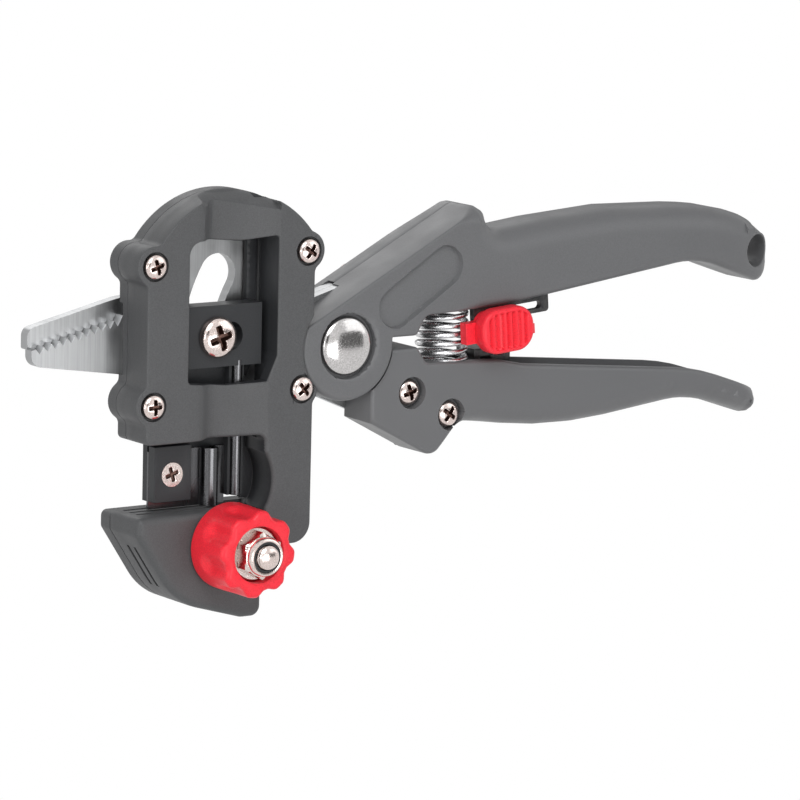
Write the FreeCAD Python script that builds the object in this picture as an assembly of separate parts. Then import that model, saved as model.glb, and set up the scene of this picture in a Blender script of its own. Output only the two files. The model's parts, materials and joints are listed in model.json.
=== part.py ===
"""A grafting pruner: a hand pruner whose head also carries a sliding plunger with a folded knife and an anvil.

Lengths are in millimetres and angles in degrees. X runs along the handles, Y from front to back, and Z up.
Everything is worked out round the pivot axis, and moved once at the end, so that the centre of the hanging hole
in the upper handle's tail is the origin. The tool is drawn closed.
"""

import FreeCAD, Part
import math
import os

V = FreeCAD.Vector

# Steel plates: the fixed serrated jaw lies in front of the cutting blade
plate_thk = 3.0
blade_thk = 3.0
plate_gap = 0.05

# Pivot
pivot_r = 4.0
boss_r = 13.5
blade_disc_r = 14.3
plate_disc_r = 12.9
dome_r = 7.3
dome_rise = 2.4
dome_rim = 0.5
crown_share = 0.62
dome_recess_gap = 0.8
dome_recess_depth = 1.9
pivot_washer_r = 8.0
pivot_washer_thk = 1.2
pivot_head_across = 13.0
pivot_head_thk = 4.4

# Head
head_depth = 12.8
head_pocket = 1.6
cover_thk = 3.6
head_right_x = -10.8
head_width = 47.7
arch_over = 2.85
arch_z = 13.0
arch_shift = 1.65
head_edge = 0.8
head_blend = 2.0
window_left_margin = 11.7
window_right_margin = 10.7
window_top_z = 28.5
window_low_z = -6.5
window_corner = 3.0
crossbar_low_z = -19.8
cavity_margin = 4.5
cavity_top_z = 26.5
cavity_shy = 0.6
scoop_depth = 2.2
scoop_margin = 0.5
column_inner_x = -24.4
column_low_z = -47.2
column_corner = 5.0
column_notch_r = 12.0
column_notch_depth = 2.3
column_notch_z = -31.0
screw_left_margin = 2.0
screw_right_margin = 2.2
screw_right_shy = 1.2
screw_top_z = 24.4
screw_low_z = -9.2
screw_drop = 1.3
screw_boss_r = 4.9
plate_inset = 2.4
lug_r = 2.8
foot_back = 4.0

# Fixed jaw and blade
jaw_reach = 25.1
jaw_tip_low_z = -0.4
jaw_tip_round = 2.8
jaw_root_top_z = 10.2
jaw_root_low_z = -4.1
jaw_valleys = 11
tooth_pitch = 2.14
tooth_height = 1.5
first_valley = 2.3
valley_z = 2.4
bite_angle = 14.1
plate_top_lap = 3.0
plate_arm_top_z = 15.4
plate_low_lap = 2.9
nose_arm_length = 27.0
nose_arm_width = 15.0
blade_tip_shy = 0.6
blade_tip_low_z = 3.0
blade_tip_top_z = 8.0
blade_tip_round = 2.3
blade_root_top_z = 13.85
blade_arm_top_z = 17.0
blade_arm_low_z = -6.0
blade_way = 2.3

# Drive pin: it stands in the blade, runs in an arc slot of the fixed jaw and pushes the slotted plunger
drive_radius = 37.0
drive_angle = 7.0
open_angle = 20.0
drive_slot_half = 5.0
drive_slot_margin_angle = 3.2
drive_pin_r = 2.5
drive_head_r = 5.0
drive_head_rise = 2.6
sleeve_r = 3.25
sleeve_slot_gap = 0.25

# Plunger
plunger_depth = 5.4
plunger_gap = 0.3
plunger_back_thk = 1.9
plunger_x = -37.0
block_lap = 3.4
block_right = 13.2
block_top_z = 12.2
block_low_z = -2.8
plunger_side_gap = 0.4
plunger_right = 9.2
plunger_low_z = -34.6
knife_hold_width = 10.4
knife_hold_top_z = -21.0
rod_r = 1.35
rod_right = 7.1

# Knife: a steel strip with one forward loop
knife_thk = 0.7
knife_loop_r = 1.9
knife_loop_sink = 1.2
knife_top_z = -22.5
knife_anvil_gap = 0.3
knife_screw_r = 1.4
knife_screw_head_r = 3.0
knife_screw_in = 5.0
knife_screw_z = -28.0

# Anvil and its bolt
bolt_r = 3.0
bolt_x = -36.4
bolt_z = -45.2
bolt_head_r = 6.2
bolt_head_rise = 2.6
anvil_depth = 13.0
anvil_left = 25.0
anvil_right = 10.6
anvil_top = 8.3
anvil_drop = 18.6
anvil_end = 4.3
anvil_round = 1.5
anvil_elbow_x_share = 0.55
anvil_elbow_z_share = 0.71
anvil_elbow_round = 26.0
anvil_heel_round = 2.6
anvil_groove = 1.1
anvil_groove_depth = 1.2
anvil_groove_pitch = 3.0
anvil_grooves = 3
anvil_core_wall = 2.2
anvil_core_gap = 5.2

# Clamp knob, washer and lock nut
knob_r = 10.6
knob_depth = 14.5
knob_lobes = 8
knob_scallop_r = 4.2
knob_scallop_depth = 1.3
knob_edge = 0.7
knob_recess_r = 6.8
knob_washer_sink = 3.1
washer_r = 6.25
washer_thk = 1.2
nut_across = 10.0
nut_thk = 5.0
nut_collar_r = 4.5
nut_collar_thk = 1.6
bolt_proud = 1.3

# Upper handle
grip_width = 19.0
grip_reach = 136.0
grip_rise = 34.6
grip_round = 4.6
grip_taper = 20.0
nose_round = 1.2
nose_front_x = 33.8
nose_front_z = 30.6
nose_angle = 28.1
nose_end_x = 36.5
grip_wall = 2.3
cavity_start_x = 26.8
cavity_end_x = 112.0
cavity_roof = 3.4
spring_roof_z = 11.0
spring_bay_end_x = 42.4
hang_r = 4.2
hang_x = 128.5
hang_z = 15.9
label_x = 21.2
label_z = 13.4
label_length = 27.5
label_width = 10.2
label_depth = 0.7
label_angle = 33.0
cheek_screw_x = 27.5
cheek_screw_z = 22.0
cheek_screw_two_x = 12.5
cheek_screw_two_z = 14.4

# Lower handle
low_width = 16.0
low_reach = 134.0
low_drop = 30.0
low_round = 2.6
low_taper = 14.0
low_wall = 2.2
low_floor = 3.2
seat_gap = 0.8
low_cheek_end_x = 8.0
low_back_start_x = 26.0
low_channel_end_x = 120.0
spring_bay_z = -11.5
shallow_end_x = 49.0
deep_floor_z = -18.5
tang_screw_places = [(20.3, -13.2), (32.3, -19.5)]
tang_screw_r = 2.0
tang_head_r = 3.25
tang_head_rise = 1.9
tang_bore_gap = 0.75
tang_bore_depth = 2.6
tang_end_x = 38.0

# Return spring
spring_x = 34.4
spring_r = 6.0
wire_d = 1.4
spring_pitch = 2.1
wire_sides = 8
spring_turns = 8.0
spring_lead_angle = 32.0
spring_bay_gap = 0.45

# Lock
lock_angle = 5.0
pad_x = 45.4
pad_z = 1.5
pad_length = 15.8
pad_height = 11.3
pad_corner = 5.0
pad_thk = 3.7
pad_wall_gap = 0.3
pad_ribs = 7
pad_rib_pitch = 1.75
pad_groove = 0.95
pad_groove_depth = 0.8
pad_rim = 1.2
bridge_inset = 0.95
tongue_drop = 0.3
tongue_thk = 2.5
neck_length = 5.2
neck_height = 5.4
rail_thk = 1.8
rail_length = 23.0
rail_height = 7.0
rail_x = 50.8
rail_slot_half = 1.0
rail_slot_z = 5.1
rail_slot_left_x = 42.4
rail_slot_right_x = 60.0
lock_pin_r = 0.9
lock_pin_span = 4.0
lock_pin_x = 47.5
hook_x = 51.9
hook_thk = 2.0
hook_width = 5.0
hook_toe = 1.6
hook_toe_length = 3.7
hook_low_z = -8.2
catch_left_x = 41.8
catch_right_x = 47.6
catch_top_z = -4.3
catch_lip = 2.0
catch_undercut = 4.4
catch_width = 8.0

# Small screws
head_screw_r = 1.5
head_screw_head_r = 3.0
head_screw_rise = 1.8
head_screw_sink = 0.7
cheek_screw_r = 1.5
cheek_screw_head_r = 2.9
cheek_screw_rise = 1.7
rivet_r = 1.2
rivet_head_r = 2.0
rivet_head_thk = 0.8

# Fits and cuts
fit = 0.05
plan_margin = 0.02
hex_sides = 6
seat_clear = 0.15
cut_over = 1.0
bend_share = 0.95
room_share = 0.9999

# Levels along Y, front negative
plate_front = -plate_thk
blade_front = plate_gap
blade_back = blade_front + blade_thk
head_back = plate_front + head_pocket
head_front = head_back - head_depth
cover_front = head_back - cover_thk
plunger_back = cover_front - fit
plunger_front = plunger_back - plunger_depth
cavity_front = plunger_front - plunger_gap
grip_mid = -(grip_width / 2 - 6 * blade_thk / 3)
grip_front = grip_mid - grip_width / 2
grip_back = grip_mid + grip_width / 2
low_front = grip_mid - low_width / 2
low_back = grip_mid + low_width / 2
anvil_back = plate_front - fit
anvil_front = anvil_back - anvil_depth
knob_back = anvil_front - fit
knob_front = knob_back - knob_depth
washer_front = knob_front + knob_washer_sink
bolt_end = washer_front - nut_thk - nut_collar_thk - bolt_proud
foot_rear = plate_front + foot_back

# Places worked out from the sizes above
head_left_x = head_right_x - head_width
cavity_left_x = head_left_x + cavity_margin
screw_left_x = head_left_x + screw_left_margin
screw_right_x = head_right_x - screw_right_margin
arch_x = head_right_x - head_width / 2 + arch_shift
arch_r = head_width / 2 + arch_over
window_left_x = head_left_x + window_left_margin
window_right_x = head_right_x - window_right_margin
window_width = window_right_x - window_left_x
plunger_left_x = cavity_left_x + plunger_side_gap
plunger_right_x = plunger_x + plunger_right
knife_screw_x = plunger_left_x + knife_screw_in
drive_x = -drive_radius * math.cos(math.radians(drive_angle))
drive_z = drive_radius * math.sin(math.radians(drive_angle))
anvil_top_z = bolt_z + anvil_top
knife_low_z = anvil_top_z + knife_anvil_gap
head_screws = [
    (screw_left_x, screw_top_z - screw_drop),
    (screw_right_x, screw_top_z),
    (screw_left_x, screw_low_z - screw_drop),
    (screw_right_x - screw_right_shy, screw_low_z),
]

# Outline corners of the handles: shares of reach, of rise or drop, and of reach for the corner's radius
upper_corner_shares = [
    (0.266, 1.009, 0.021),
    (0.287, 0.760, 0.026),
    (0.605, 0.876, 1.600),
    (0.860, 0.805, 0.440),
    (0.986, 0.638, 0.098),
    (0.996, 0.160, 0.036),
    (0.797, 0.439, 0.220),
    (0.339, 0.195, 1.100),
    (0.171, 0.178, 0.018),
    (0.152, 0.035, 0.010),
]
lower_corner_shares = [
    (0.163, 0.062, 0.008),
    (0.184, 0.203, 0.014),
    (0.343, 0.220, 0.220),
    (0.410, 0.283, 0),
    (0.821, 0.450, 0.450),
    (0.998, 0.715, 0.026),
    (0.987, 0.940, 0.0235),
    (0.824, 0.697, 0.290),
    (0.497, 0.873, 0.880),
    (0.268, 0.725, 0.038),
    (0.2015, 0.997, 0.030),
]


def box(x0, x1, y0, y1, z0, z1):
    return Part.makeBox(x1 - x0, y1 - y0, z1 - z0, V(x0, y0, z0))


def rod_y(x, z, radius, y0, y1):
    return Part.makeCylinder(radius, y1 - y0, V(x, y0, z), V(0, 1, 0))


def rod_z(x, y, radius, z0, z1):
    return Part.makeCylinder(radius, z1 - z0, V(x, y, z0), V(0, 0, 1))


def rounded_wire(corners, level, upright=False):
    """A closed outline of straight lines and tangent arcs; each corner is (across, up, radius).

    Where two neighbouring arcs would want more than the line between them, both are made smaller.
    """
    lift = (lambda a, b: V(a, b, level)) if upright else (lambda a, b: V(a, level, b))
    points = [lift(a, b) for a, b, _ in corners]
    count = len(points)
    bends = []
    for i, here in enumerate(points):
        before = (points[i - 1] - here).normalize()
        after = (points[(i + 1) % count] - here).normalize()
        half = before.getAngle(after) / 2
        straight = corners[i][2] <= 0 or half > math.pi / 2 - 1e-6
        bends.append((before, after, half, 0 if straight else corners[i][2] / math.tan(half)))
    room = []
    for i, here in enumerate(points):
        length = here.distanceToPoint(points[(i + 1) % count])
        wanted = bends[i][3] + bends[(i + 1) % count][3]
        room.append(1 if wanted < length else room_share * length / wanted)
    starts, ends, arcs = [], [], []
    for i, here in enumerate(points):
        before, after, half, back = bends[i]
        back *= min(room[i - 1], room[i])
        starts.append(here + before * back)
        ends.append(here + after * back)
        radius = back * math.tan(half)
        inward = (before + after).normalize() if back else V(0, 0, 0)
        middle = here + inward * (radius / math.sin(half) - radius)
        arcs.append(Part.Arc(starts[-1], middle, ends[-1]).toShape() if back else None)
    edges = []
    for i in range(count):
        if arcs[i] is not None:
            edges.append(arcs[i])
        following = starts[(i + 1) % count]
        if ends[i].distanceToPoint(following) > 1e-6:
            edges.append(Part.LineSegment(ends[i], following).toShape())
    return Part.Wire(edges)


def prism(corners, y0, y1):
    """An outline in the XZ plane, drawn out from y0 to y1."""
    return Part.Face(rounded_wire(corners, y0)).extrude(V(0, y1 - y0, 0))


def fuse(first, *others):
    return first.multiFuse(list(others)).removeSplitter() if others else first


def cut(first, *others):
    for other in others:
        first = first.cut(other)
    return first


def along(share_rows, reach, rise):
    return [(a * reach, b * rise, r * reach) for a, b, r in share_rows]


def edges_on_level(shape, level):
    """Edges that lie wholly in the plane Y = level."""
    found = []
    for edge in shape.Edges:
        bounds = edge.BoundBox
        if abs(bounds.YMin - level) < 1e-4 and abs(bounds.YMax - level) < 1e-4:
            found.append(edge)
    return found


def eased(shape, radius, edges):
    """Rounds edges, by no more than the tightest bend among them allows."""
    bends = [edge.Curve.Radius * bend_share for edge in edges if isinstance(edge.Curve, Part.Circle)]
    return shape.makeFillet(min([radius] + bends), edges)


def hexagon(x, z, across, y0, y1):
    step = 2 * math.pi / hex_sides
    radius = across / 2 / math.cos(step / 2)
    spots = [step * i for i in range(hex_sides)]
    corners = [(x + radius * math.cos(a), z + radius * math.sin(a), 0) for a in spots]
    return prism(corners, y0, y1)


def turned(x, z, rows):
    """A round solid on an axis along Y; each row of the profile is (radius, y)."""
    spots = [V(x + radius, y, z) for radius, y in rows]
    edges = [Part.LineSegment(p, q).toShape() for p, q in zip(spots, spots[1:] + spots[:1])]
    return Part.Face(Part.Wire(edges)).revolve(V(x, 0, z), V(0, 1, 0), 360)


def dome(x, z, radius, rim, rise, seat, outward, steps):
    """A round head with a straight rim and a crown of a few cones, standing on the plane Y = seat."""
    crown = rise - rim
    rows = [(0, seat), (radius, seat)]
    for i in range(steps + 1):
        lean = math.pi / 2 * crown_share * i / steps
        share = math.sin(lean) / math.sin(math.pi / 2 * crown_share)
        depth = (1 - math.cos(lean)) / (1 - math.cos(math.pi / 2 * crown_share))
        rows.insert(2, (radius * share, seat + outward * (rise - crown * depth)))
    return turned(x, z, rows)


def screw(x, z, shank, head, rim, rise, seat, end, outward=-1):
    """A round-headed screw along Y: the head stands on Y = seat and the shank ends at Y = end."""
    low, high = min(seat, end), max(seat, end)
    return fuse(rod_y(x, z, shank, low, high), dome(x, z, head, rim, rise, seat, outward, 2))


def blended(shape, radius, y0, y1):
    """The same upright outline with its inner corners filled to a radius."""
    faces = [face for face in shape.Faces if abs(face.BoundBox.YMax - y0) < 1e-4]
    wire = max(faces, key=lambda face: face.Area).OuterWire
    grown = wire.makeOffset2D(radius)
    back = grown.makeOffset2D(-radius)
    return Part.Face(back).extrude(V(0, y1 - y0, 0))


def head_outline(y0, y1):
    """The head's outer shape without its lower column: an arch over a block, with four round bosses."""
    arch = rod_y(arch_x, arch_z, arch_r, y0, y1)
    sides = box(head_left_x, head_right_x, y0, y1, arch_z, arch_z + arch_r + cut_over)
    block = prism(
        [
            (head_left_x, crossbar_low_z, anvil_round),
            (head_left_x, arch_z, 0),
            (head_right_x, arch_z, 0),
            (head_right_x, crossbar_low_z, 0),
        ],
        y0,
        y1,
    )
    bosses = [rod_y(x, z, screw_boss_r, y0, y1) for x, z in head_screws]
    shoulder = [
        rod_y(head_left_x + anvil_round * 3, arch_z, anvil_round * 3, y0, y1),
    ]
    column = prism(
        [
            (column_inner_x, column_low_z, 0),
            (column_inner_x, arch_z, 0),
            (head_right_x, arch_z, 0),
            (head_right_x, column_low_z, column_corner),
        ],
        y0,
        y1,
    )
    notch_x = column_inner_x + column_notch_depth - column_notch_r
    notch = rod_y(notch_x, column_notch_z, column_notch_r, y0 - cut_over, y1 + cut_over)
    notch = notch.common(
        box(
            column_inner_x - cut_over,
            head_right_x,
            y0 - cut_over,
            y1 + cut_over,
            column_low_z,
            crossbar_low_z - cut_over,
        )
    )
    rough = cut(fuse(block, arch.common(sides), column, *shoulder, *bosses), notch)
    return blended(rough, head_blend, y0, y1)


def window_cut(y0, y1):
    chamfer = window_corner
    corners = [
        (window_left_x, window_low_z, 0),
        (window_left_x, window_top_z, window_corner),
        (window_right_x, window_top_z, window_corner / 2),
        (window_right_x, window_low_z + 2 * chamfer, 0),
        (window_right_x - chamfer, window_low_z, 0),
    ]
    return prism(corners, y0, y1)


def head_front_shell():
    shell = head_outline(head_front, cover_front)
    rim = edges_on_level(shell, head_front)
    shell = shell.makeFillet(head_edge, rim)
    cavity_wide = box(
        cavity_left_x,
        window_right_x - cavity_shy,
        cavity_front,
        cover_front + cut_over,
        crossbar_low_z,
        cavity_top_z,
    )
    cavity_exit = box(
        cavity_left_x,
        column_inner_x + cavity_shy,
        cavity_front,
        cover_front + cut_over,
        crossbar_low_z - cut_over,
        window_low_z,
    )
    half = (window_width - 2 * scoop_margin) / 2
    scoop_r = (half * half + scoop_depth * scoop_depth) / (2 * scoop_depth)
    scoop_y = head_front - (scoop_r - scoop_depth)
    scoop = rod_z(
        (window_left_x + window_right_x) / 2,
        scoop_y,
        scoop_r,
        crossbar_low_z - cut_over,
        arch_z + arch_r + cut_over,
    )
    boss_seat = rod_y(0, 0, boss_r + seat_clear, grip_front - fit, cover_front + cut_over)
    window = window_cut(head_front - cut_over, cover_front + cut_over)
    shell = cut(shell, window, cavity_wide, cavity_exit, scoop, boss_seat)
    for x, z in head_screws:
        shell = cut(
            shell,
            rod_y(x, z, head_screw_r + fit, head_front - cut_over, cover_front + cut_over),
            rod_y(x, z, head_screw_head_r + fit, head_front - cut_over, head_front + head_screw_sink),
        )
    return shell


def anvil_outline(grow):
    """Corners of the anvil's side, and of the foot behind it when grow is more than 0."""
    left = bolt_x - anvil_left - grow
    right = bolt_x + anvil_right
    low = bolt_z - anvil_drop - grow
    elbow_x = bolt_x - anvil_left * anvil_elbow_x_share - grow
    elbow_z = bolt_z - anvil_drop * anvil_elbow_z_share - grow
    return [
        (left, anvil_top_z - anvil_end, anvil_round),
        (left, anvil_top_z, anvil_round),
        (right, anvil_top_z, anvil_right - anvil_round / 2),
        (right, low, anvil_heel_round),
        (bolt_x + anvil_right / 2, low, 0),
        (elbow_x, elbow_z, anvil_elbow_round * 2 / 3),
    ]


def head_rear_cover():
    cover = head_outline(cover_front, head_back)
    cover = cut(cover, window_cut(cover_front - cut_over, head_back + cut_over))
    for x, z in head_screws:
        cover = cut(cover, rod_y(x, z, head_screw_r + fit, cover_front - cut_over, head_back + cut_over))
    boss_seat = rod_y(0, 0, boss_r + seat_clear, cover_front - cut_over, plate_front)
    cover = cut(cover, plate_pocket(), boss_seat)
    low = bolt_z - anvil_drop
    foot_corners = [
        (bolt_x - anvil_left, anvil_top_z - anvil_end, anvil_round),
        (bolt_x - anvil_left, anvil_top_z - plunger_gap, anvil_round),
        (head_right_x, anvil_top_z - plunger_gap, 0),
        (head_right_x, column_low_z, column_corner),
        (bolt_x + anvil_right, low, anvil_heel_round),
        (bolt_x + anvil_right / 2, low, 0),
        (
            bolt_x - anvil_left * anvil_elbow_x_share,
            bolt_z - anvil_drop * anvil_elbow_z_share,
            anvil_elbow_round * 2 / 3,
        ),
    ]
    foot = prism(foot_corners, plate_front, foot_rear)
    foot = cut(foot, rod_y(bolt_x, bolt_z, bolt_r + fit, plate_front - cut_over, foot_rear + cut_over))
    return fuse(cover, foot)


def plate_body(y0, y1, grow):
    """The part of the fixed jaw plate that lies behind the head, with its arm to the pivot."""
    left = head_left_x + plate_inset - grow
    right = head_right_x - plate_inset + grow
    arch = rod_y(arch_x, arch_z, arch_r - plate_inset + grow, y0, y1)
    top = window_top_z + plate_top_lap + grow
    upper = arch.common(box(left, right, y0, y1, arch_z, top))
    low = screw_low_z - plate_low_lap - grow
    body = box(left, 0, y0, y1, low, plate_arm_top_z + grow)
    lugs = [rod_y(x, z, lug_r + grow, y0, y1) for x, z in head_screws]
    hub = rod_y(0, 0, plate_disc_r + grow, y0, y1)
    return fuse(body, upper, hub, *lugs)


def plate_pocket():
    pocket = plate_body(plate_front, head_back + cut_over, fit)
    jaw_way = box(
        head_left_x - cut_over,
        head_left_x + plate_inset + cut_over,
        plate_front,
        head_back + cut_over,
        jaw_root_low_z - fit,
        jaw_root_top_z + plate_thk,
    )
    return fuse(pocket, jaw_way)


def jaw_corners():
    """The fixed jaw: V teeth along its top edge, and a lower edge that rises to the blunt tip."""
    root = head_left_x + plate_inset + cut_over
    tip = head_left_x - jaw_reach
    start = head_left_x - plate_gap
    rise = math.tan(math.radians(bite_angle))
    corners = [(root, jaw_root_low_z - fit, 0), (head_left_x, jaw_root_low_z, 0)]
    corners.append((tip, jaw_tip_low_z, jaw_tip_round))
    corners.append((tip, valley_z + tooth_height - first_valley * rise, 0))
    for i in range(jaw_valleys):
        x = tip + first_valley + i * tooth_pitch
        level = valley_z + i * tooth_pitch * rise
        corners.append((x - tooth_pitch / 2, level + tooth_height - tooth_pitch / 2 * rise, 0))
        corners.append((x, level, 0))
    corners += [(start, jaw_root_top_z, 0), (root, jaw_root_top_z, 0)]
    return corners


def drive_slot(y0, y1):
    """The arc slot round the pivot that the drive pin swings through."""
    first = drive_angle - drive_slot_margin_angle
    last = drive_angle + open_angle + drive_slot_margin_angle
    inner = drive_radius - drive_slot_half
    outer = drive_radius + drive_slot_half

    def spot(radius, angle):
        a = math.radians(angle)
        return V(-radius * math.cos(a), y0, radius * math.sin(a))

    def end_spot(angle, turn):
        a = math.radians(angle)
        centre = spot(drive_radius, angle)
        side = V(-math.sin(a), 0, -math.cos(a)) * (drive_slot_half * turn)
        return centre + side

    middle = (first + last) / 2
    edges = [
        Part.Arc(spot(outer, first), spot(outer, middle), spot(outer, last)).toShape(),
        Part.Arc(spot(outer, last), end_spot(last, -1), spot(inner, last)).toShape(),
        Part.Arc(spot(inner, last), spot(inner, middle), spot(inner, first)).toShape(),
        Part.Arc(spot(inner, first), end_spot(first, 1), spot(outer, first)).toShape(),
    ]
    return Part.Face(Part.Wire(edges)).extrude(V(0, y1 - y0, 0))


def nose_arm(y0, y1, grow):
    a = math.radians(nose_angle)
    ahead = V(math.cos(a), 0, math.sin(a))
    aside = V(-math.sin(a), 0, math.cos(a))
    corners = []
    for s, t in [(0, -1), (1, -1), (1, 1), (0, 1)]:
        spot = ahead * (s * (nose_arm_length + grow)) + aside * (t * (nose_arm_width / 2 + grow))
        spot = spot + aside * (plate_disc_r - nose_arm_width / 2 - plate_gap)
        corners.append((spot.x, spot.z, lug_r if s else 0))
    return prism(corners, y0, y1)


def serrated_jaw():
    jaw = prism(jaw_corners(), plate_front, 0)
    plate = fuse(plate_body(plate_front, 0, 0), jaw, nose_arm(plate_front, 0, 0))
    holes = [drive_slot(plate_front - cut_over, cut_over)]
    holes.append(rod_y(0, 0, pivot_r + fit, plate_front - cut_over, cut_over))
    rows = [(head_screws, head_screw_r), (cheek_screws(), cheek_screw_r)]
    for places, radius in rows:
        holes += [rod_y(x, z, radius + fit, plate_front - cut_over, cut_over) for x, z in places]
    return cut(plate, *holes)


def cutting_blade():
    tip = head_left_x - jaw_reach + blade_tip_shy
    arm = prism(
        [
            (tip, blade_tip_low_z, blade_tip_shy),
            (tip, blade_tip_top_z, blade_tip_round),
            (head_left_x, blade_root_top_z, jaw_reach),
            (drive_x + drive_slot_half, blade_arm_top_z, drive_radius),
            (0, blade_disc_r, 0),
            (0, -blade_disc_r, 0),
            (drive_x + drive_slot_half, blade_arm_low_z, drive_radius / 2),
            (head_left_x, blade_tip_low_z / 2, jaw_reach),
        ],
        blade_front,
        blade_back,
    )
    low = tang_screw_places[1][1] - tang_head_r * 2
    tang = prism(
        [
            (0, -blade_disc_r, 0),
            (tang_screw_places[0][0], tang_screw_places[0][1] - 3 * tang_head_r, 0),
            (tang_end_x - 3 * tang_head_r, low, tang_head_r),
            (tang_end_x, tang_screw_places[1][1] - tang_head_r / 2, tang_screw_r),
            (tang_end_x, tang_screw_places[1][1] + tang_head_r, tang_screw_r),
            (tang_screw_places[0][0] + tang_head_r, tang_screw_places[0][1] + tang_head_r, tang_head_r),
            (pivot_r, 0, 0),
        ],
        blade_front,
        blade_back,
    )
    blade = fuse(arm, rod_y(0, 0, blade_disc_r, blade_front, blade_back), tang)
    holes = [rod_y(0, 0, pivot_r + fit, 0, blade_back + cut_over)]
    holes.append(rod_y(drive_x, drive_z, drive_pin_r + fit, 0, blade_back + cut_over))
    holes += [rod_y(x, z, tang_screw_r + fit, 0, blade_back + cut_over) for x, z in tang_screw_places]
    return cut(blade, *holes)


def nose_corners(top):
    """One half of the upper handle's nose: it leaves the boss on a tangent and ends in a drop."""
    a = math.radians(nose_angle + 90)
    upper = along(upper_corner_shares, grip_reach, grip_rise)
    end = nose_end_x + nose_round
    corners = [(boss_r * math.cos(a), boss_r * math.sin(a), 0), top]
    corners += [(end, upper[1][1], 0), (end, upper[7][1], 0)]
    corners += [upper[8], upper[9], (boss_r / 2, upper[9][1], 0), (0, 0, 0)]
    return corners


def cheek_screws():
    return [(cheek_screw_x, cheek_screw_z), (cheek_screw_two_x, cheek_screw_two_z)]


def plan_body(start, reach, taper, width, z0, z1):
    """A handle seen from above: straight sides that end in half an ellipse, a hair wider than the handle,
    so that its walls cut the handle's faces and never lie on them."""
    mid = V(reach - taper, grip_mid, z0)
    half = width / 2 + plan_margin
    oval = Part.Ellipse(mid + V(taper + plan_margin, 0, 0), mid + V(0, half, 0), mid)
    tail = Part.Face(Part.Wire([oval.toShape()])).extrude(V(0, 0, z1 - z0))
    return fuse(box(start, mid.x, grip_mid - half, grip_mid + half, z0, z1), tail)


def upper_handle():
    outline = along(upper_corner_shares, grip_reach, grip_rise)
    slope = (outline[2][1] - outline[1][1]) / (outline[2][0] - outline[1][0])
    shoulder_z = outline[1][1] - slope * (outline[1][0] - cavity_start_x)
    grip_corners = [(cavity_start_x, shoulder_z, 0)] + outline[2:8]
    grip_corners.append((cavity_start_x, outline[7][1] - plate_gap, 0))
    grip = prism(grip_corners, grip_front, grip_back)
    round_edges = edges_on_level(grip, grip_front) + edges_on_level(grip, grip_back)
    grip = eased(grip, grip_round, [edge for edge in round_edges if edge.BoundBox.XLength > fit])
    grip = grip.common(plan_body(0, grip_reach, grip_taper, grip_width, -grip_rise, 2 * grip_rise))
    front_top = (nose_front_x, nose_front_z, outline[0][2])
    front = fuse(prism(nose_corners(front_top), grip_front, 0), rod_y(0, 0, boss_r, grip_front, 0))
    front = front.makeFillet(nose_round, edges_on_level(front, grip_front))
    handle = fuse(front, grip)
    handle = cut(handle, nose_rear_space())
    bay_half = spring_r + wire_d / 2 + spring_bay_gap
    bay = box(
        cavity_start_x,
        spring_bay_end_x,
        grip_mid - bay_half,
        grip_mid + bay_half,
        -grip_rise,
        spring_roof_z,
    )
    roof = [(x, z - cavity_roof) for x, z, _ in (outline[1], outline[2], outline[3])]
    channel = prism(
        [
            (spring_bay_end_x - cut_over, -grip_rise, 0),
            (spring_bay_end_x - cut_over, roof[0][1], grip_wall),
            (roof[1][0], roof[1][1], 0),
            (cavity_end_x, roof[2][1], grip_wall),
            (cavity_end_x, -grip_rise, 0),
        ],
        grip_mid - bay_half,
        grip_mid + bay_half,
    )
    label = stadium(label_x, label_z, label_length, label_width, label_angle, 0, label_depth + cut_over)
    label.translate(V(0, grip_front - cut_over, 0))
    hang = rod_y(hang_x, hang_z, hang_r, grip_front - cut_over, grip_back + cut_over)
    recess_r = dome_r + dome_recess_gap
    recess = rod_y(0, 0, recess_r, grip_front - cut_over, grip_front + dome_recess_depth)
    bore = rod_y(0, 0, pivot_r + fit, grip_front - cut_over, cut_over)
    pocket = fuse(
        nose_arm(plate_front, cut_over, fit),
        rod_y(0, 0, boss_r + cut_over, plate_front, cut_over),
        plate_body(plate_front, cut_over, fit),
    )
    handle = cut(handle, bay, channel, label, hang, recess, bore, pocket)
    for x, z in cheek_screws():
        handle = cut(handle, rod_y(x, z, cheek_screw_r + fit, grip_front / 2, cut_over))
    for x, z in rail_rivets():
        handle = cut(handle, rod_y(x, z, rivet_r + fit, grip_front + grip_wall / 2, grip_mid))
    return handle


def nose_rear_space():
    """Everything behind the nose, where the rear cheek and the blade go."""
    low = -boss_r - cut_over
    return box(low, nose_end_x - nose_round, 0, grip_back + cut_over, low, 2 * grip_rise)


def rear_cheek():
    corners = nose_corners(along(upper_corner_shares, grip_reach, grip_rise)[0])
    end = nose_end_x - nose_round - fit
    corners = [(min(x, end), z, r) for x, z, r in corners]
    cheek = fuse(prism(corners, 0, grip_back), rod_y(0, 0, boss_r, 0, grip_back))
    side = boss_r + cut_over
    cheek = cheek.common(box(-side, end, 0, grip_back, -side, 2 * grip_rise))
    space = rod_y(0, 0, blade_disc_r + blade_way, -cut_over, blade_back + fit)
    below = box(-side, side, -cut_over, blade_back + fit, -side, 0)
    bay_half = spring_r + wire_d / 2 + spring_bay_gap
    bay = box(cavity_start_x, end + cut_over, -cut_over, grip_mid + bay_half, -cut_over, spring_roof_z)
    cheek = cut(cheek, space, below, bay)
    cheek = cut(cheek, rod_y(0, 0, pivot_r + fit, -cut_over, grip_back + cut_over))
    for x, z in cheek_screws():
        cheek = cut(cheek, rod_y(x, z, cheek_screw_r + fit, -cut_over, grip_back + cut_over))
    return cheek


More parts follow.
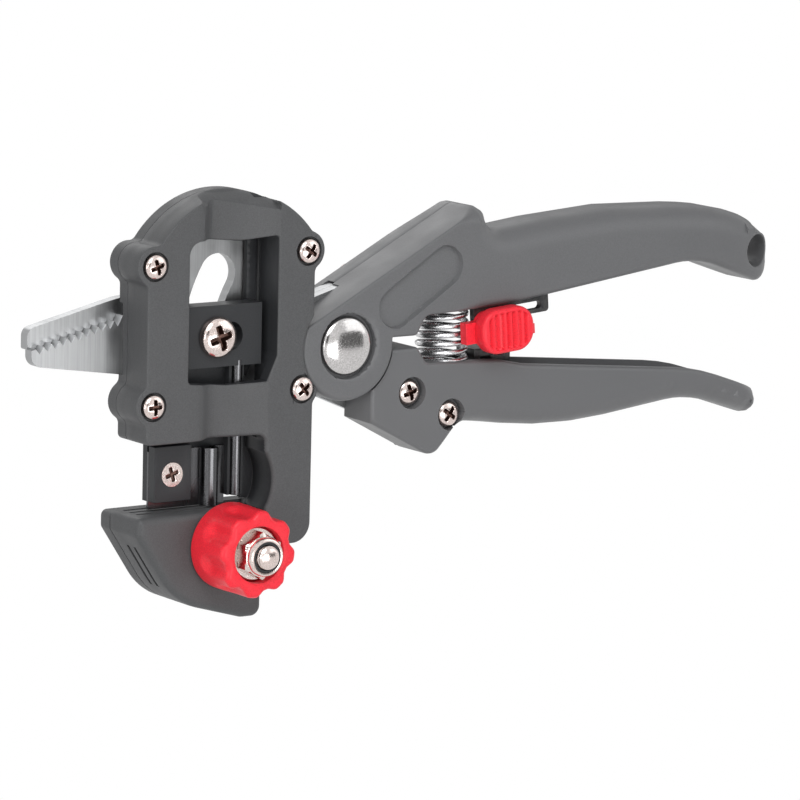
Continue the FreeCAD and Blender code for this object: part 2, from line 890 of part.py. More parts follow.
def stadium(x, z, length, width, angle, y0, y1):
    """A long hole or pad with round ends, turned in the XZ plane."""
    half = length / 2
    radius = width / 2 * (1 - 1e-3)
    flat = prism(
        [
            (-half, -width / 2, radius),
            (half, -width / 2, radius),
            (half, width / 2, radius),
            (-half, width / 2, radius),
        ],
        y0,
        y1,
    )
    flat.rotate(V(0, 0, 0), V(0, 1, 0), -angle)
    flat.translate(V(x, 0, z))
    return flat


def lower_handle():
    outline = along(lower_corner_shares, low_reach, -low_drop)
    cheek_low_z = outline[-1][1] + (outline[-1][0] - low_cheek_end_x) * math.tan(math.radians(nose_angle))
    corners = [(low_cheek_end_x, outline[0][1], 0)] + outline + [(low_cheek_end_x, cheek_low_z, 0)]
    handle = prism(corners, low_front, low_back)
    sides = edges_on_level(handle, low_front) + edges_on_level(handle, low_back)
    low_edges = []
    for edge in sides:
        middle = edge.CenterOfMass
        under = middle.z < outline[3][1] - low_wall and middle.x > low_cheek_end_x + fit
        if middle.x > outline[3][0] or under:
            low_edges.append(edge)
    handle = eased(handle, low_round, low_edges)
    handle = handle.common(plan_body(0, low_reach, low_taper, low_width, -2 * low_drop, low_drop))
    seat = rod_y(0, 0, boss_r + seat_gap, low_front - cut_over, low_back + cut_over)
    back = box(0, low_back_start_x, blade_front, low_back + cut_over, -2 * low_drop, low_drop)
    tang_way = prism(
        [
            (low_back_start_x - cut_over, -low_drop * 2, 0),
            (low_back_start_x - cut_over, outline[1][1] - low_wall, 0),
            (tang_end_x + fit, tang_screw_places[1][1] + tang_head_r + wire_d, 0),
            (tang_end_x + fit, -low_drop * 2, 0),
        ],
        blade_front,
        blade_back + fit,
    )
    bay_half = spring_r + wire_d / 2 + spring_bay_gap
    bay = rod_z(spring_x, grip_mid, bay_half, spring_bay_z, 0)
    shallow = box(
        spring_x,
        shallow_end_x,
        low_front + low_wall,
        low_back - low_wall,
        (spring_bay_z + outline[2][1]) / 2,
        0,
    )
    channel = prism(
        [
            (shallow_end_x - cut_over, 0, 0),
            (shallow_end_x - cut_over, deep_floor_z, low_wall),
            (outline[8][0], outline[8][1] + 2 * low_floor, low_reach / 2),
            (outline[7][0], outline[7][1] + low_floor, low_reach / 4),
            (low_channel_end_x, outline[7][1] + low_floor / 2, low_wall),
            (low_channel_end_x, 0, 0),
        ],
        low_front + low_wall,
        low_back - low_wall,
    )
    handle = cut(handle, seat, back, tang_way, bay, shallow, channel)
    for x, z in tang_screw_places:
        handle = cut(
            handle,
            rod_y(x, z, tang_screw_r + fit, low_front - cut_over, blade_front + cut_over),
            rod_y(x, z, tang_head_r + tang_bore_gap, low_front - cut_over, low_front + tang_bore_depth),
        )
    return handle


def plunger():
    block = box(
        window_left_x - block_lap,
        plunger_x + block_right,
        plunger_front,
        plunger_back,
        block_low_z,
        block_top_z,
    )
    back = box(
        plunger_left_x,
        plunger_right_x,
        plunger_back - plunger_back_thk,
        plunger_back,
        plunger_low_z,
        block_low_z,
    )
    rib_x = plunger_x + rod_right
    rib_half = rod_r + seat_gap
    rib_front = plunger_front + rod_r
    rib = box(rib_x - rib_half, rib_x + rib_half, rib_front, plunger_back, plunger_low_z, block_low_z)
    body = fuse(block, back, rib)
    slot_half = sleeve_r + sleeve_slot_gap
    rest = drive_x - slot_half
    far = -drive_radius * math.cos(math.radians(drive_angle + open_angle)) + slot_half + sleeve_slot_gap
    near = rest - sleeve_slot_gap
    spots = [(near, -slot_half), (far, -slot_half), (far, slot_half), (near, slot_half)]
    rows = [(x, drive_z + rise, slot_half - fit / 5) for x, rise in spots]
    slot = prism(rows, plunger_front - cut_over, plunger_back + cut_over)
    rod_y_mid = plunger_front + rod_r
    rod_hole = rod_z(rib_x, rod_y_mid, rod_r + fit, plunger_low_z - cut_over, block_low_z + rod_r)
    screw_end = plunger_back + cut_over
    screw_hole = rod_y(knife_screw_x, knife_screw_z, knife_screw_r + fit, plunger_front, screw_end)
    return cut(body, slot, rod_hole, screw_hole)


def guide_rod():
    x = plunger_x + rod_right
    return rod_z(x, plunger_front + rod_r, rod_r, plunger_low_z, block_low_z + rod_r)


def knife_feet_y():
    back = plunger_back - plunger_back_thk
    return back - knife_thk, back


def knife_holder():
    left = plunger_left_x
    front, _ = knife_feet_y()
    plate = box(left, left + knife_hold_width, plunger_front, front, plunger_low_z, knife_hold_top_z)
    hole = rod_y(knife_screw_x, knife_screw_z, knife_screw_r + fit, plunger_front - cut_over, plunger_back)
    sink_depth = knife_screw_head_r - knife_screw_r
    sink = Part.makeCone(
        knife_screw_head_r + fit,
        knife_screw_r + fit,
        sink_depth,
        V(knife_screw_x, plunger_front, knife_screw_z),
        V(0, 1, 0),
    )
    return cut(plate, hole, sink)


def knife_screw():
    sink_depth = knife_screw_head_r - knife_screw_r
    head = Part.makeCone(
        knife_screw_head_r,
        knife_screw_r,
        sink_depth,
        V(knife_screw_x, plunger_front, knife_screw_z),
        V(0, 1, 0),
    )
    return fuse(head, rod_y(knife_screw_x, knife_screw_z, knife_screw_r, plunger_front, plunger_back - fit))


def grafting_knife():
    front, back = knife_feet_y()
    left = plunger_left_x
    right = plunger_x + rod_right - rod_r - seat_gap
    middle = (front + back) / 2
    centre_y = middle - knife_loop_sink
    outer = knife_loop_r + knife_thk / 2
    inner = knife_loop_r - knife_thk / 2
    loop = cut(
        rod_z(plunger_x, centre_y, outer, knife_low_z, knife_top_z),
        rod_z(plunger_x, centre_y, inner, knife_low_z - cut_over, knife_top_z + cut_over),
        box(
            plunger_x - outer,
            plunger_x + outer,
            back,
            back + outer,
            knife_low_z - cut_over,
            knife_top_z + cut_over,
        ),
    )
    neck = math.sqrt(knife_loop_r * knife_loop_r - knife_loop_sink * knife_loop_sink)
    feet = [
        box(left, plunger_x - neck, front, back, knife_low_z, knife_top_z),
        box(plunger_x + neck, right, front, back, knife_low_z, knife_top_z),
    ]
    throat = box(
        plunger_x - neck + knife_thk / 2,
        plunger_x + neck - knife_thk / 2,
        centre_y,
        back + cut_over,
        knife_low_z - cut_over,
        knife_top_z + cut_over,
    )
    strip = cut(fuse(loop, *feet), throat)
    hole = rod_y(knife_screw_x, knife_screw_z, knife_screw_r + fit, front - cut_over, back + cut_over)
    return cut(strip, hole)


def drive_sleeve():
    tube = rod_y(drive_x, drive_z, sleeve_r, plunger_front - fit, blade_front)
    bore = rod_y(drive_x, drive_z, drive_pin_r + fit, plunger_front - cut_over, blade_front + cut_over)
    return cut(tube, bore)


def drive_screw():
    seat = plunger_front - fit
    end = blade_back - fit
    rim = drive_head_rise / 4
    return screw(drive_x, drive_z, drive_pin_r, drive_head_r, rim, drive_head_rise, seat, end)


def anvil():
    body = prism(anvil_outline(0), anvil_front, anvil_back)
    body = body.makeChamfer(anvil_round / 2, edges_on_level(body, anvil_front))
    body = cut(body, rod_y(bolt_x, bolt_z, bolt_r + fit, anvil_front - cut_over, anvil_back + cut_over))
    front, back = knife_feet_y()
    mid = (front + back) / 2
    for i in range(anvil_grooves):
        y = mid + (i - (anvil_grooves - 1) / 2) * anvil_groove_pitch
        groove = box(
            bolt_x - anvil_left + 2 * anvil_round,
            plunger_right_x,
            y - anvil_groove / 2,
            y + anvil_groove / 2,
            anvil_top_z - anvil_groove_depth,
            anvil_top_z + cut_over,
        )
        body = cut(body, groove)
    return cut(body, *anvil_cores())


def anvil_cores():
    """Two moulding slots in the sloping underside, near the back."""
    cores = []
    elbow_x = bolt_x - anvil_left * anvil_elbow_x_share
    elbow_z = bolt_z - anvil_drop * anvil_elbow_z_share
    start = V(bolt_x - anvil_left, 0, anvil_top_z - anvil_end)
    slope = math.degrees(math.atan2(start.z - elbow_z, elbow_x - start.x))
    run = math.hypot(elbow_x - start.x, start.z - elbow_z)
    for i in range(2):
        y0 = anvil_back - anvil_core_wall - anvil_groove_pitch * (i + 1)
        slot = box(run / 5, run * 4 / 5, y0, y0 + anvil_groove, -cut_over, anvil_core_gap)
        slot.rotate(V(0, 0, 0), V(0, 1, 0), slope)
        slot.translate(V(start.x, 0, start.z))
        cores.append(slot)
    return cores


def clamp_knob():
    knob = rod_y(bolt_x, bolt_z, knob_r, knob_front, knob_back)
    knob = knob.makeChamfer(knob_edge, edges_on_level(knob, knob_front) + edges_on_level(knob, knob_back))
    away = knob_r + knob_scallop_r - knob_scallop_depth
    for i in range(knob_lobes):
        a = 2 * math.pi * (i + 0.5) / knob_lobes
        knob = cut(
            knob,
            rod_y(
                bolt_x + away * math.cos(a),
                bolt_z + away * math.sin(a),
                knob_scallop_r,
                knob_front - cut_over,
                knob_back + cut_over,
            ),
        )
    recess = rod_y(bolt_x, bolt_z, knob_recess_r, knob_front - cut_over, washer_front + washer_thk)
    bore = rod_y(bolt_x, bolt_z, bolt_r + fit, knob_front - cut_over, knob_back + cut_over)
    return cut(knob, recess, bore)


def knob_washer():
    disc = rod_y(bolt_x, bolt_z, washer_r, washer_front, washer_front + washer_thk)
    bore = rod_y(bolt_x, bolt_z, bolt_r + fit, washer_front - cut_over, washer_front + washer_thk + cut_over)
    return cut(disc, bore)


def lock_nut():
    front = washer_front - nut_thk
    body = hexagon(bolt_x, bolt_z, nut_across, front, washer_front)
    collar = rod_y(bolt_x, bolt_z, nut_collar_r, front - nut_collar_thk, front)
    bore = rod_y(bolt_x, bolt_z, bolt_r + fit, front - nut_collar_thk - cut_over, washer_front + cut_over)
    return cut(fuse(body, collar), bore)


def anvil_bolt():
    rim = bolt_head_rise / 4
    return screw(bolt_x, bolt_z, bolt_r, bolt_head_r, rim, bolt_head_rise, foot_rear, bolt_end, 1)


def pivot_dome_nut():
    seat = grip_front + dome_recess_depth
    head = dome(0, 0, dome_r, dome_rim + dome_recess_depth / 2, dome_rise, seat, -1, 4)
    return cut(head, rod_y(0, 0, pivot_r + fit, seat - dome_rise / 2, seat + cut_over))


def pivot_washer():
    disc = rod_y(0, 0, pivot_washer_r, grip_back, grip_back + pivot_washer_thk)
    bore_end = grip_back + pivot_washer_thk + cut_over
    return cut(disc, rod_y(0, 0, pivot_r + fit, grip_back - cut_over, bore_end))


def pivot_bolt():
    seat = grip_back + pivot_washer_thk
    shank = rod_y(0, 0, pivot_r, grip_front + dome_recess_depth - dome_rise / 2 + fit, seat)
    return fuse(shank, hexagon(0, 0, pivot_head_across, seat, seat + pivot_head_thk))


def biarc_edges(p0, t0, p1, t1):
    """Two tangent arcs in space from p0 along t0 to p1 along t1."""
    span = p1 - p0
    both = t0 + t1
    lean = 2 * (1 - t0.dot(t1))
    reach = span.dot(both)
    if lean < 1e-9:
        pull = span.dot(span) / (4 * span.dot(t0))
    else:
        pull = (-reach + math.sqrt(reach * reach + lean * span.dot(span))) / lean
    q0 = p0 + t0 * pull
    q1 = p1 - t1 * pull
    joint = (q0 + q1) * 0.5
    edges = []
    for start, knee, end in [(p0, q0, joint), (joint, q1, p1)]:
        half_way = (start + end) * 0.5
        half_chord = start.distanceToPoint(end) / 2
        height = knee.distanceToPoint(half_way)
        turn = math.atan2(height, half_chord)
        sagitta = half_chord * math.tan(turn / 2)
        middle = half_way + (knee - half_way) * (sagitta / height)
        edges.append(Part.Arc(start, middle, end).toShape())
    return edges


def spring_points(steps):
    """Points and directions of the coil: start post, turns from the helix formula, end post."""
    rise_rate = spring_pitch / (2 * math.pi)
    lead = math.radians(spring_lead_angle)
    height = spring_roof_z - spring_bay_z
    lift = (height - 2 * wire_d - spring_turns * spring_pitch) / 2
    rows = []
    low = V(spring_r, 0, wire_d)
    rows.append((low, V(0, 0, 1)))
    quarter_turns = int(round(spring_turns * steps))
    for i in range(quarter_turns + 1):
        a = lead + 2 * math.pi * i / steps
        spot = V(spring_r * math.cos(a), spring_r * math.sin(a), wire_d + lift + spring_pitch * i / steps)
        heading = V(-spring_r * math.sin(a), spring_r * math.cos(a), rise_rate).normalize()
        rows.append((spot, heading))
    last = lead + 2 * math.pi * quarter_turns / steps + lead
    top = V(spring_r * math.cos(last), spring_r * math.sin(last), height - wire_d)
    rows.append((top, V(0, 0, 1)))
    return rows


def return_spring():
    rows = spring_points(4)
    first = rows[0][0]
    last = rows[-1][0]
    edges = [Part.LineSegment(V(first.x, first.y, 0), first).toShape()]
    for (p0, t0), (p1, t1) in zip(rows, rows[1:]):
        edges += biarc_edges(p0, t0, p1, t1)
    edges.append(Part.LineSegment(last, last + V(0, 0, wire_d)).toShape())
    path = Part.Wire(edges)
    spots = [2 * math.pi * i / wire_sides for i in range(wire_sides + 1)]
    wire_r = wire_d / 2
    ring = Part.makePolygon([V(first.x + wire_r * math.cos(a), wire_r * math.sin(a), 0) for a in spots])
    coil = path.makePipeShell([ring], True, False)
    samples = []
    for edge in edges:
        samples += edge.discretize(9)[:-1]
    least = spring_r * 4
    travelled = [0]
    for before, here in zip(samples, samples[1:]):
        travelled.append(travelled[-1] + before.distanceToPoint(here))
    for i, here in enumerate(samples):
        for j in range(i + 1, len(samples)):
            if travelled[j] - travelled[i] > math.pi * spring_r:
                least = min(least, here.distanceToPoint(samples[j]) - wire_d)
    print("spring: least gap between turns %.2f mm, wire length %.1f mm" % (least, travelled[-1]))
    coil.translate(V(spring_x, grip_mid, spring_bay_z))
    return coil


def stadium_block(x, z, length, height, corner, inset, y0, y1):
    """A block with rounded corners, smaller all round by the inset."""
    half = length / 2 - inset
    tall = height / 2 - inset
    radius = corner - inset
    spots = [(-half, -tall), (half, -tall), (half, tall), (-half, tall)]
    return prism([(x + a, z + b, radius) for a, b in spots], y0, y1)


def tilt(shape):
    """Turns a lock piece from level to the handle's slope, about the pad's centre."""
    shape.rotate(V(pad_x, 0, pad_z), V(0, 1, 0), -lock_angle)
    return shape


def lock_slider():
    back = grip_front - pad_wall_gap
    front = back - pad_thk
    half = pad_length / 2
    tall = pad_height / 2
    pad = stadium_block(pad_x, pad_z, pad_length, pad_height, pad_corner, 0, front, back)
    pad = pad.makeChamfer(pad_groove_depth, edges_on_level(pad, front))
    for i in range(pad_ribs):
        x = pad_x + (i - (pad_ribs - 1) / 2) * pad_rib_pitch
        away = abs(i - (pad_ribs - 1) / 2) * pad_rib_pitch
        trim = max(0, away - (half - pad_corner))
        reach = tall - pad_corner + math.sqrt(pad_corner * pad_corner - trim * trim) - pad_rim
        groove = box(
            x - pad_groove / 2,
            x + pad_groove / 2,
            front - cut_over,
            front + pad_groove_depth,
            pad_z - reach,
            pad_z + reach,
        )
        pad = cut(pad, groove)
    inner = rail_front() - fit
    bridge = stadium_block(pad_x, pad_z, pad_length, pad_height, pad_corner, bridge_inset, back, inner)
    neck = box(
        pad_x - half - neck_length / 2,
        pad_x,
        back,
        inner,
        pad_z - neck_height / 2,
        pad_z + neck_height / 2,
    )
    tongue = box(
        pad_x,
        hook_x + hook_thk * 2,
        back,
        grip_mid + hook_width / 2,
        pad_z - tongue_drop - tongue_thk,
        pad_z - tongue_drop,
    )
    clear = box(
        pad_x - cut_over,
        hook_x - hook_thk,
        inner,
        grip_mid + hook_width,
        pad_z - pad_height,
        pad_z + pad_height,
    )
    tongue = cut(tongue, clear)
    body = tilt(fuse(pad, bridge, neck, tongue))
    for x, z in lock_pin_places():
        body = cut(body, rod_y(x, z, lock_pin_r + fit, back, inner + cut_over))
    hook_way = box(
        hook_x - fit,
        hook_x + hook_thk + fit,
        grip_mid - hook_width / 2 - fit,
        grip_mid + hook_width,
        -grip_rise,
        grip_rise,
    )
    return cut(body, hook_way)


def rail_front():
    return grip_mid - spring_r - wire_d / 2 - spring_bay_gap


def on_slope(x, level):
    """Height at x of a line along the slope that has this level at the pad's centre."""
    return level + (x - pad_x) * math.tan(math.radians(lock_angle))


def lock_pin_places():
    xs = [lock_pin_x, lock_pin_x + lock_pin_span]
    return [(x, on_slope(x, rail_slot_z)) for x in xs]


def rail_rivets():
    xs = [rail_x - rail_length / 4, rail_x + rail_length / 4]
    return [(x, on_slope(x, rail_slot_z + rail_height - rivet_head_r)) for x in xs]


def lock_rail():
    front = rail_front()
    back = front + rail_thk
    half = rail_length / 2
    low = rail_slot_z - rail_slot_half * 2
    rail = prism(
        [
            (rail_x - half, low, rail_slot_half),
            (rail_x + half, low, rail_slot_half),
            (rail_x + half, low + rail_height + rail_slot_half, 0),
            (rail_x - half, low + rail_height + rail_slot_half, 0),
        ],
        front,
        back,
    )
    slot = stadium(
        (rail_slot_left_x + rail_slot_right_x) / 2,
        rail_slot_z,
        rail_slot_right_x - rail_slot_left_x,
        rail_slot_half * 2,
        0,
        front - cut_over,
        back + cut_over,
    )
    rail = tilt(cut(rail, slot))
    for x, z in rail_rivets():
        rail = cut(rail, rod_y(x, z, rivet_r + fit, front - cut_over, back + cut_over))
    return rail


def rail_rivet(x, z):
    front = grip_front + grip_wall / 2
    back = rail_front() + rail_thk
    return fuse(rod_y(x, z, rivet_r, front, back), rod_y(x, z, rivet_head_r, back, back + rivet_head_thk))


def lock_pin(x, z):
    front = rail_front()
    back = front + rail_thk
    shank = rod_y(x, z, lock_pin_r, grip_front - pad_wall_gap, back + fit)
    return fuse(shank, rod_y(x, z, lock_pin_r + rivet_head_thk, back + fit, back + fit + rivet_head_thk))


def lock_hook():
    y0 = grip_mid - hook_width / 2
    y1 = grip_mid + hook_width / 2
    top = on_slope(hook_x, pad_z)
    leg = box(hook_x, hook_x + hook_thk, y0, y1, hook_low_z, top)
    toe = box(hook_x - hook_toe_length, hook_x, y0, y1, hook_low_z, hook_low_z + hook_toe)
    return fuse(leg, toe)


def lock_catch():
    outline = along(lower_corner_shares, low_reach, -low_drop)
    floor = (spring_bay_z + outline[2][1]) / 2
    side = catch_width / 2
    block = box(catch_left_x, catch_right_x, grip_mid - side, grip_mid + side, floor, catch_top_z)
    under = box(
        catch_right_x - catch_undercut,
        catch_right_x + cut_over,
        grip_mid - catch_width,
        grip_mid + catch_width,
        floor,
        catch_top_z - catch_lip,
    )
    return cut(block, under)


def group(function, places):
    return Part.makeCompound([function(x, z) for x, z in places])


def head_screw(x, z):
    seat = head_front + head_screw_sink
    return screw(x, z, head_screw_r, head_screw_head_r, head_screw_rise / 3, head_screw_rise, seat, -fit)


def cheek_screw(x, z):
    rim = cheek_screw_rise / 3
    tip = grip_front / 2
    return screw(x, z, cheek_screw_r, cheek_screw_head_r, rim, cheek_screw_rise, grip_back, tip, 1)


def tang_screw(x, z):
    seat = low_front + tang_bore_depth
    tip = blade_back - fit
    return screw(x, z, tang_screw_r, tang_head_r, tang_head_rise / 3, tang_head_rise, seat, tip)


plate = serrated_jaw()
nodes = {
    "upper_handle": upper_handle(),
    "rear_cheek": rear_cheek(),
    "cheek_screws": group(cheek_screw, cheek_screws()),
    "head_front_shell": head_front_shell(),
    "head_rear_cover": head_rear_cover(),
    "head_screws": group(head_screw, head_screws),
    "serrated_jaw": plate,
    "pivot_bolt": pivot_bolt(),
    "pivot_dome_nut": pivot_dome_nut(),
    "pivot_washer": pivot_washer(),
    "anvil_bolt": anvil_bolt(),
    "knob_washer": knob_washer(),
    "lock_nut": lock_nut(),
    "lock_rail": lock_rail(),
    "rail_rivets": group(rail_rivet, rail_rivets()),
    "return_spring": return_spring(),
    "lower_handle": lower_handle(),
    "cutting_blade": cutting_blade(),
    "tang_screws": group(tang_screw, tang_screw_places),
    "drive_screw": drive_screw(),
    "drive_sleeve": drive_sleeve(),
    "lock_catch": lock_catch(),
    "plunger": plunger(),
    "guide_rod": guide_rod(),
    "knife_holder": knife_holder(),
    "knife_screw": knife_screw(),
    "grafting_knife": grafting_knife(),
    "anvil": anvil(),
    "clamp_knob": clamp_knob(),
    "lock_slider": lock_slider(),
    "lock_pins": group(lock_pin, lock_pin_places()),
    "lock_hook": lock_hook(),
}

os.makedirs("parts", exist_ok=True)
for name, shape in nodes.items():
    shape.translate(V(-hang_x, -grip_mid, -hang_z))
    shape.exportStep("parts/%s.step" % name)
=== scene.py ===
# %% [markdown]
# # A grafting pruner
#
# The tool is a hand pruner whose head also pushes a folded knife onto an anvil. Its CAD model is loaded as a
# fixed frame: every solid is already in its place, in metres, and moves on its own joint. This lesson
# dresses that frame. Each piece that needs a softer or finer shape than the solid is worked out again as a
# surface, and every finish is built from shader nodes.

import json
import math
from contextlib import contextmanager

import bmesh
import bpy
import numpy as np
from mathutils import Matrix, Vector
from mathutils.geometry import delaunay_2d_cdt


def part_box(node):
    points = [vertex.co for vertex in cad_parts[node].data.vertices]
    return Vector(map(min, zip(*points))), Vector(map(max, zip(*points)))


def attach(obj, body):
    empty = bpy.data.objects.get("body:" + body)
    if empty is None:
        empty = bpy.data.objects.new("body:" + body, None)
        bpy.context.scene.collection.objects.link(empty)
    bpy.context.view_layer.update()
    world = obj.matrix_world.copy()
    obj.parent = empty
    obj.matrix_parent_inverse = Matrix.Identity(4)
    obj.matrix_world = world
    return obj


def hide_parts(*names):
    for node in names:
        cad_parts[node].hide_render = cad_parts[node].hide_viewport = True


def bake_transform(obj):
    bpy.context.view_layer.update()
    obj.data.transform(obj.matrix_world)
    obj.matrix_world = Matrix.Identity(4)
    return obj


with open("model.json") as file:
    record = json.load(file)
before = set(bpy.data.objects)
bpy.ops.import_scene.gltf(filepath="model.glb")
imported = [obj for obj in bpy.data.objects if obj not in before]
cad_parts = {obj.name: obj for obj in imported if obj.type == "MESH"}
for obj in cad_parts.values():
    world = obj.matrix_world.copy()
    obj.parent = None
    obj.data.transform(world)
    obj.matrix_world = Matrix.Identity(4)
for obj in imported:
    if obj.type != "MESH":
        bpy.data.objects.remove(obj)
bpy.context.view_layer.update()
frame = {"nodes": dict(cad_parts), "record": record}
nodes = frame["nodes"]
MM = 0.001
print("nodes in the frame:", len(nodes))

# %% [markdown]
# The drawing of this tool is easiest to read round the handles' pivot, so that the pivot's axis is at X = Z
# = 0 and the steel plates lie round Y = 0. The frame's origin is the hanging hole instead. One function
# moves points from the drawing to the frame, and turns millimetres into metres. Cameras, lamps and cards are
# set up by three more.

# %% From the drawing to the frame
shank_low, shank_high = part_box("pivot_bolt")
plate_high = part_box("serrated_jaw")[1]
PIVOT = np.array([(shank_low[0] + shank_high[0]) / 2, plate_high[1], (shank_low[2] + shank_high[2]) / 2])


def place(points):
    """Drawing millimetres, round the pivot, to metres in the frame: p * 0.001 + pivot."""
    return np.asarray(points, float) * MM + PIVOT


def linked(name, data):
    """A new object in the scene."""
    thing = bpy.data.objects.new(name, data)
    bpy.context.scene.collection.objects.link(thing)
    return thing


def facing(spot, aim):
    """Side, rise and back vectors of something at spot that looks at aim."""
    away = np.array(spot, float) - np.array(aim, float)
    away /= np.linalg.norm(away)
    side = np.cross([0.0, 0.0, 1.0], away)
    side /= np.linalg.norm(side)
    return side, np.cross(away, side), away


def stand(thing, right, up, back, spot):
    """Puts an object at a spot of the drawing, turned to three axes."""
    turn = np.eye(4)
    turn[:3, :3] = np.stack([right, up, back], 1)
    turn[:3, 3] = place(spot)
    thing.matrix_world = Matrix(turn.tolist())


print("pivot in the frame:", np.round(PIVOT, 4))

# %% [markdown]
# ## The camera
#
# The photograph looks at the tool from the left and a little from above, with a long lens. The camera's
# direction is given by an azimuth and an elevation, its distance is a real length, and the pivot's dome is
# put at the place in the picture where it is seen.

# %% Place the camera
AZIMUTH, ELEVATION, ROLL = (math.radians(a) for a in (-35.0, 9.5, 1.4))
DISTANCE = 1200.0
PICTURE = 800
FOCAL = 4930.0
DOME_PX = (350.0, 347.0)
DOME_FACE = (0.0, -13.5, 0.0)
SENSOR = 36.0
FAR_CLIP = 20.0


def camera_axes(azimuth, elevation, roll):
    """Right, up and back vectors of a camera that circles Z by azimuth, rises by elevation and rolls."""
    level = np.array([math.cos(azimuth), math.sin(azimuth), 0.0])
    ahead = np.array([math.sin(azimuth), -math.cos(azimuth), 0.0])
    back = ahead * math.cos(elevation) + np.array([0.0, 0.0, math.sin(elevation)])
    rise = np.cross(back, level)
    return level * math.cos(roll) + rise * math.sin(roll), rise * math.cos(roll) - level * math.sin(roll), back


right, up, back = camera_axes(AZIMUTH, ELEVATION, ROLL)
across = (DOME_PX[0] - PICTURE / 2) / FOCAL * DISTANCE
above = (PICTURE / 2 - DOME_PX[1]) / FOCAL * DISTANCE
eye = np.array(DOME_FACE) + back * DISTANCE - right * across - up * above
camera_data = bpy.data.cameras.new("photo_camera")
camera_data.sensor_width = SENSOR
camera_data.lens = FOCAL / PICTURE * SENSOR
camera_data.clip_end = FAR_CLIP
camera = linked("photo_camera", camera_data)
stand(camera, right, up, back, eye)
bpy.context.scene.camera = camera
print("lens in mm:", round(camera_data.lens, 1))

# %% [markdown]
# ## Light and backdrop
#
# A catalogue picture has a white ground and large soft lamps, so the object has no hard shadow and its
# undersides are filled from below. Five area lamps do this. Each has a name, a place, a size and a power.

# %% Lamps
MIDDLE = (20.0, -4.0, -5.0)
LAMPS = [
    ("key_lamp", (-500.0, -900.0, 900.0), 700.0, 11.5),
    ("fill_lamp", (900.0, -800.0, 500.0), 900.0, 2.4),
    ("low_left_lamp", (-800.0, -420.0, -60.0), 500.0, 4.5),
    ("under_lamp", (0.0, -330.0, -116.0), 200.0, 0.6),
    ("back_lamp", (200.0, 900.0, 700.0), 800.0, 2.6),
]
for name, spot, size, power in LAMPS:
    data = bpy.data.lights.new(name, "AREA")
    data.shape = "SQUARE"
    data.size = size * MM
    data.energy = power
    stand(linked(name, data), *facing(spot, MIDDLE), spot)
print("lamps:", len(LAMPS))

# %% [markdown]
# The floor and the world are white to the camera and to mirrors, and a plain grey to the light that falls on
# the object, so the white never adds light. Bright metal in an all-white room would look like paper, so a
# few grey cards stand where only mirrors see them and draw the dark bands in the steel.

# %% World, floor and cards
SKY_LIGHT = (0.33, 0.334, 0.343, 1.0)
FLOOR_SHADE = 0.92
FLOOR_HALF = 4000.0
FLOOR_DEPTH = 124.0
SQUARE = np.array([(-1, -1), (1, -1), (1, 1), (-1, 1)])
FLAGS = [
    ("flag_right", (400.0, -560.0, -20.0), 420.0, 190.0, 0.16),
    ("flag_left", (-720.0, -380.0, 60.0), 260.0, 420.0, 0.05),
    ("flag_camera", (-330.0, -760.0, 160.0), 260.0, 260.0, 0.10),
    ("flag_back", (520.0, 760.0, 120.0), 900.0, 330.0, 0.22),
]


def add_node(tree, kind, links=(), **values):
    """A shader node: links holds (input, source) pairs, and values set sockets, with _ for a space."""
    node = tree.nodes.new("ShaderNode" + kind)
    for name, value in values.items():
        node.inputs[name.replace("_", " ")].default_value = value
    for socket, source in links:
        tree.links.new(source, node.inputs[socket])
    return node


def seen_white(tree, lit_colour):
    """A colour that is white to the camera, to mirrors and through glass, and lit_colour to other rays."""
    rays = add_node(tree, "LightPath").outputs
    seen = rays["Is Camera Ray"]
    for ray in ("Is Transmission Ray", "Is Glossy Ray"):
        either = add_node(tree, "Math", [(0, seen), (1, rays[ray])])
        either.operation = "MAXIMUM"
        seen = either.outputs[0]
    mix = add_node(tree, "Mix")
    mix.data_type = "RGBA"
    mix.inputs["A"].default_value = lit_colour
    mix.inputs["B"].default_value = (1.0, 1.0, 1.0, 1.0)
    tree.links.new(seen, mix.inputs["Factor"])
    return mix.outputs["Result"]


def stage_card(name, corners, shade, white=False):
    """A flat card of the studio over four corners in metres, plain grey or white to the camera."""
    mesh = bpy.data.meshes.new(name)
    mesh.from_pydata(corners.tolist(), [], [(0, 1, 2, 3)])
    paint = bpy.data.materials.new(name)
    paint.use_nodes = True
    tree = paint.node_tree
    tree.nodes.clear()
    glow = add_node(tree, "Emission", Color=(shade, shade, shade, 1.0))
    if white:
        tree.links.new(seen_white(tree, (shade, shade, shade, 1.0)), glow.inputs["Color"])
    add_node(tree, "OutputMaterial", [("Surface", glow.outputs[0])])
    mesh.materials.append(paint)
    card = linked(name, mesh)
    return card


world = bpy.data.worlds.new("studio")
bpy.context.scene.world = world
world.use_nodes = True
sky = world.node_tree.nodes["Background"]
world.node_tree.links.new(seen_white(world.node_tree, SKY_LIGHT), sky.inputs["Color"])
sky.inputs["Strength"].default_value = 1.0

floor_z = place((0, 0, -FLOOR_DEPTH))[2]
stage_card("floor", np.column_stack([SQUARE * FLOOR_HALF * MM, np.full(4, floor_z)]), FLOOR_SHADE, True)
for name, spot, width, height, shade in FLAGS:
    side, rise, _ = facing(spot, MIDDLE)
    corners = np.array(spot) + SQUARE[:, :1] * side * width / 2 + SQUARE[:, 1:] * rise * height / 2
    card = stage_card(name, place(corners), shade)
    card.visible_camera = card.visible_diffuse = card.visible_shadow = card.visible_transmission = False
bpy.context.scene.view_settings.view_transform = "Standard"
print("cards:", 1 + len(FLAGS))

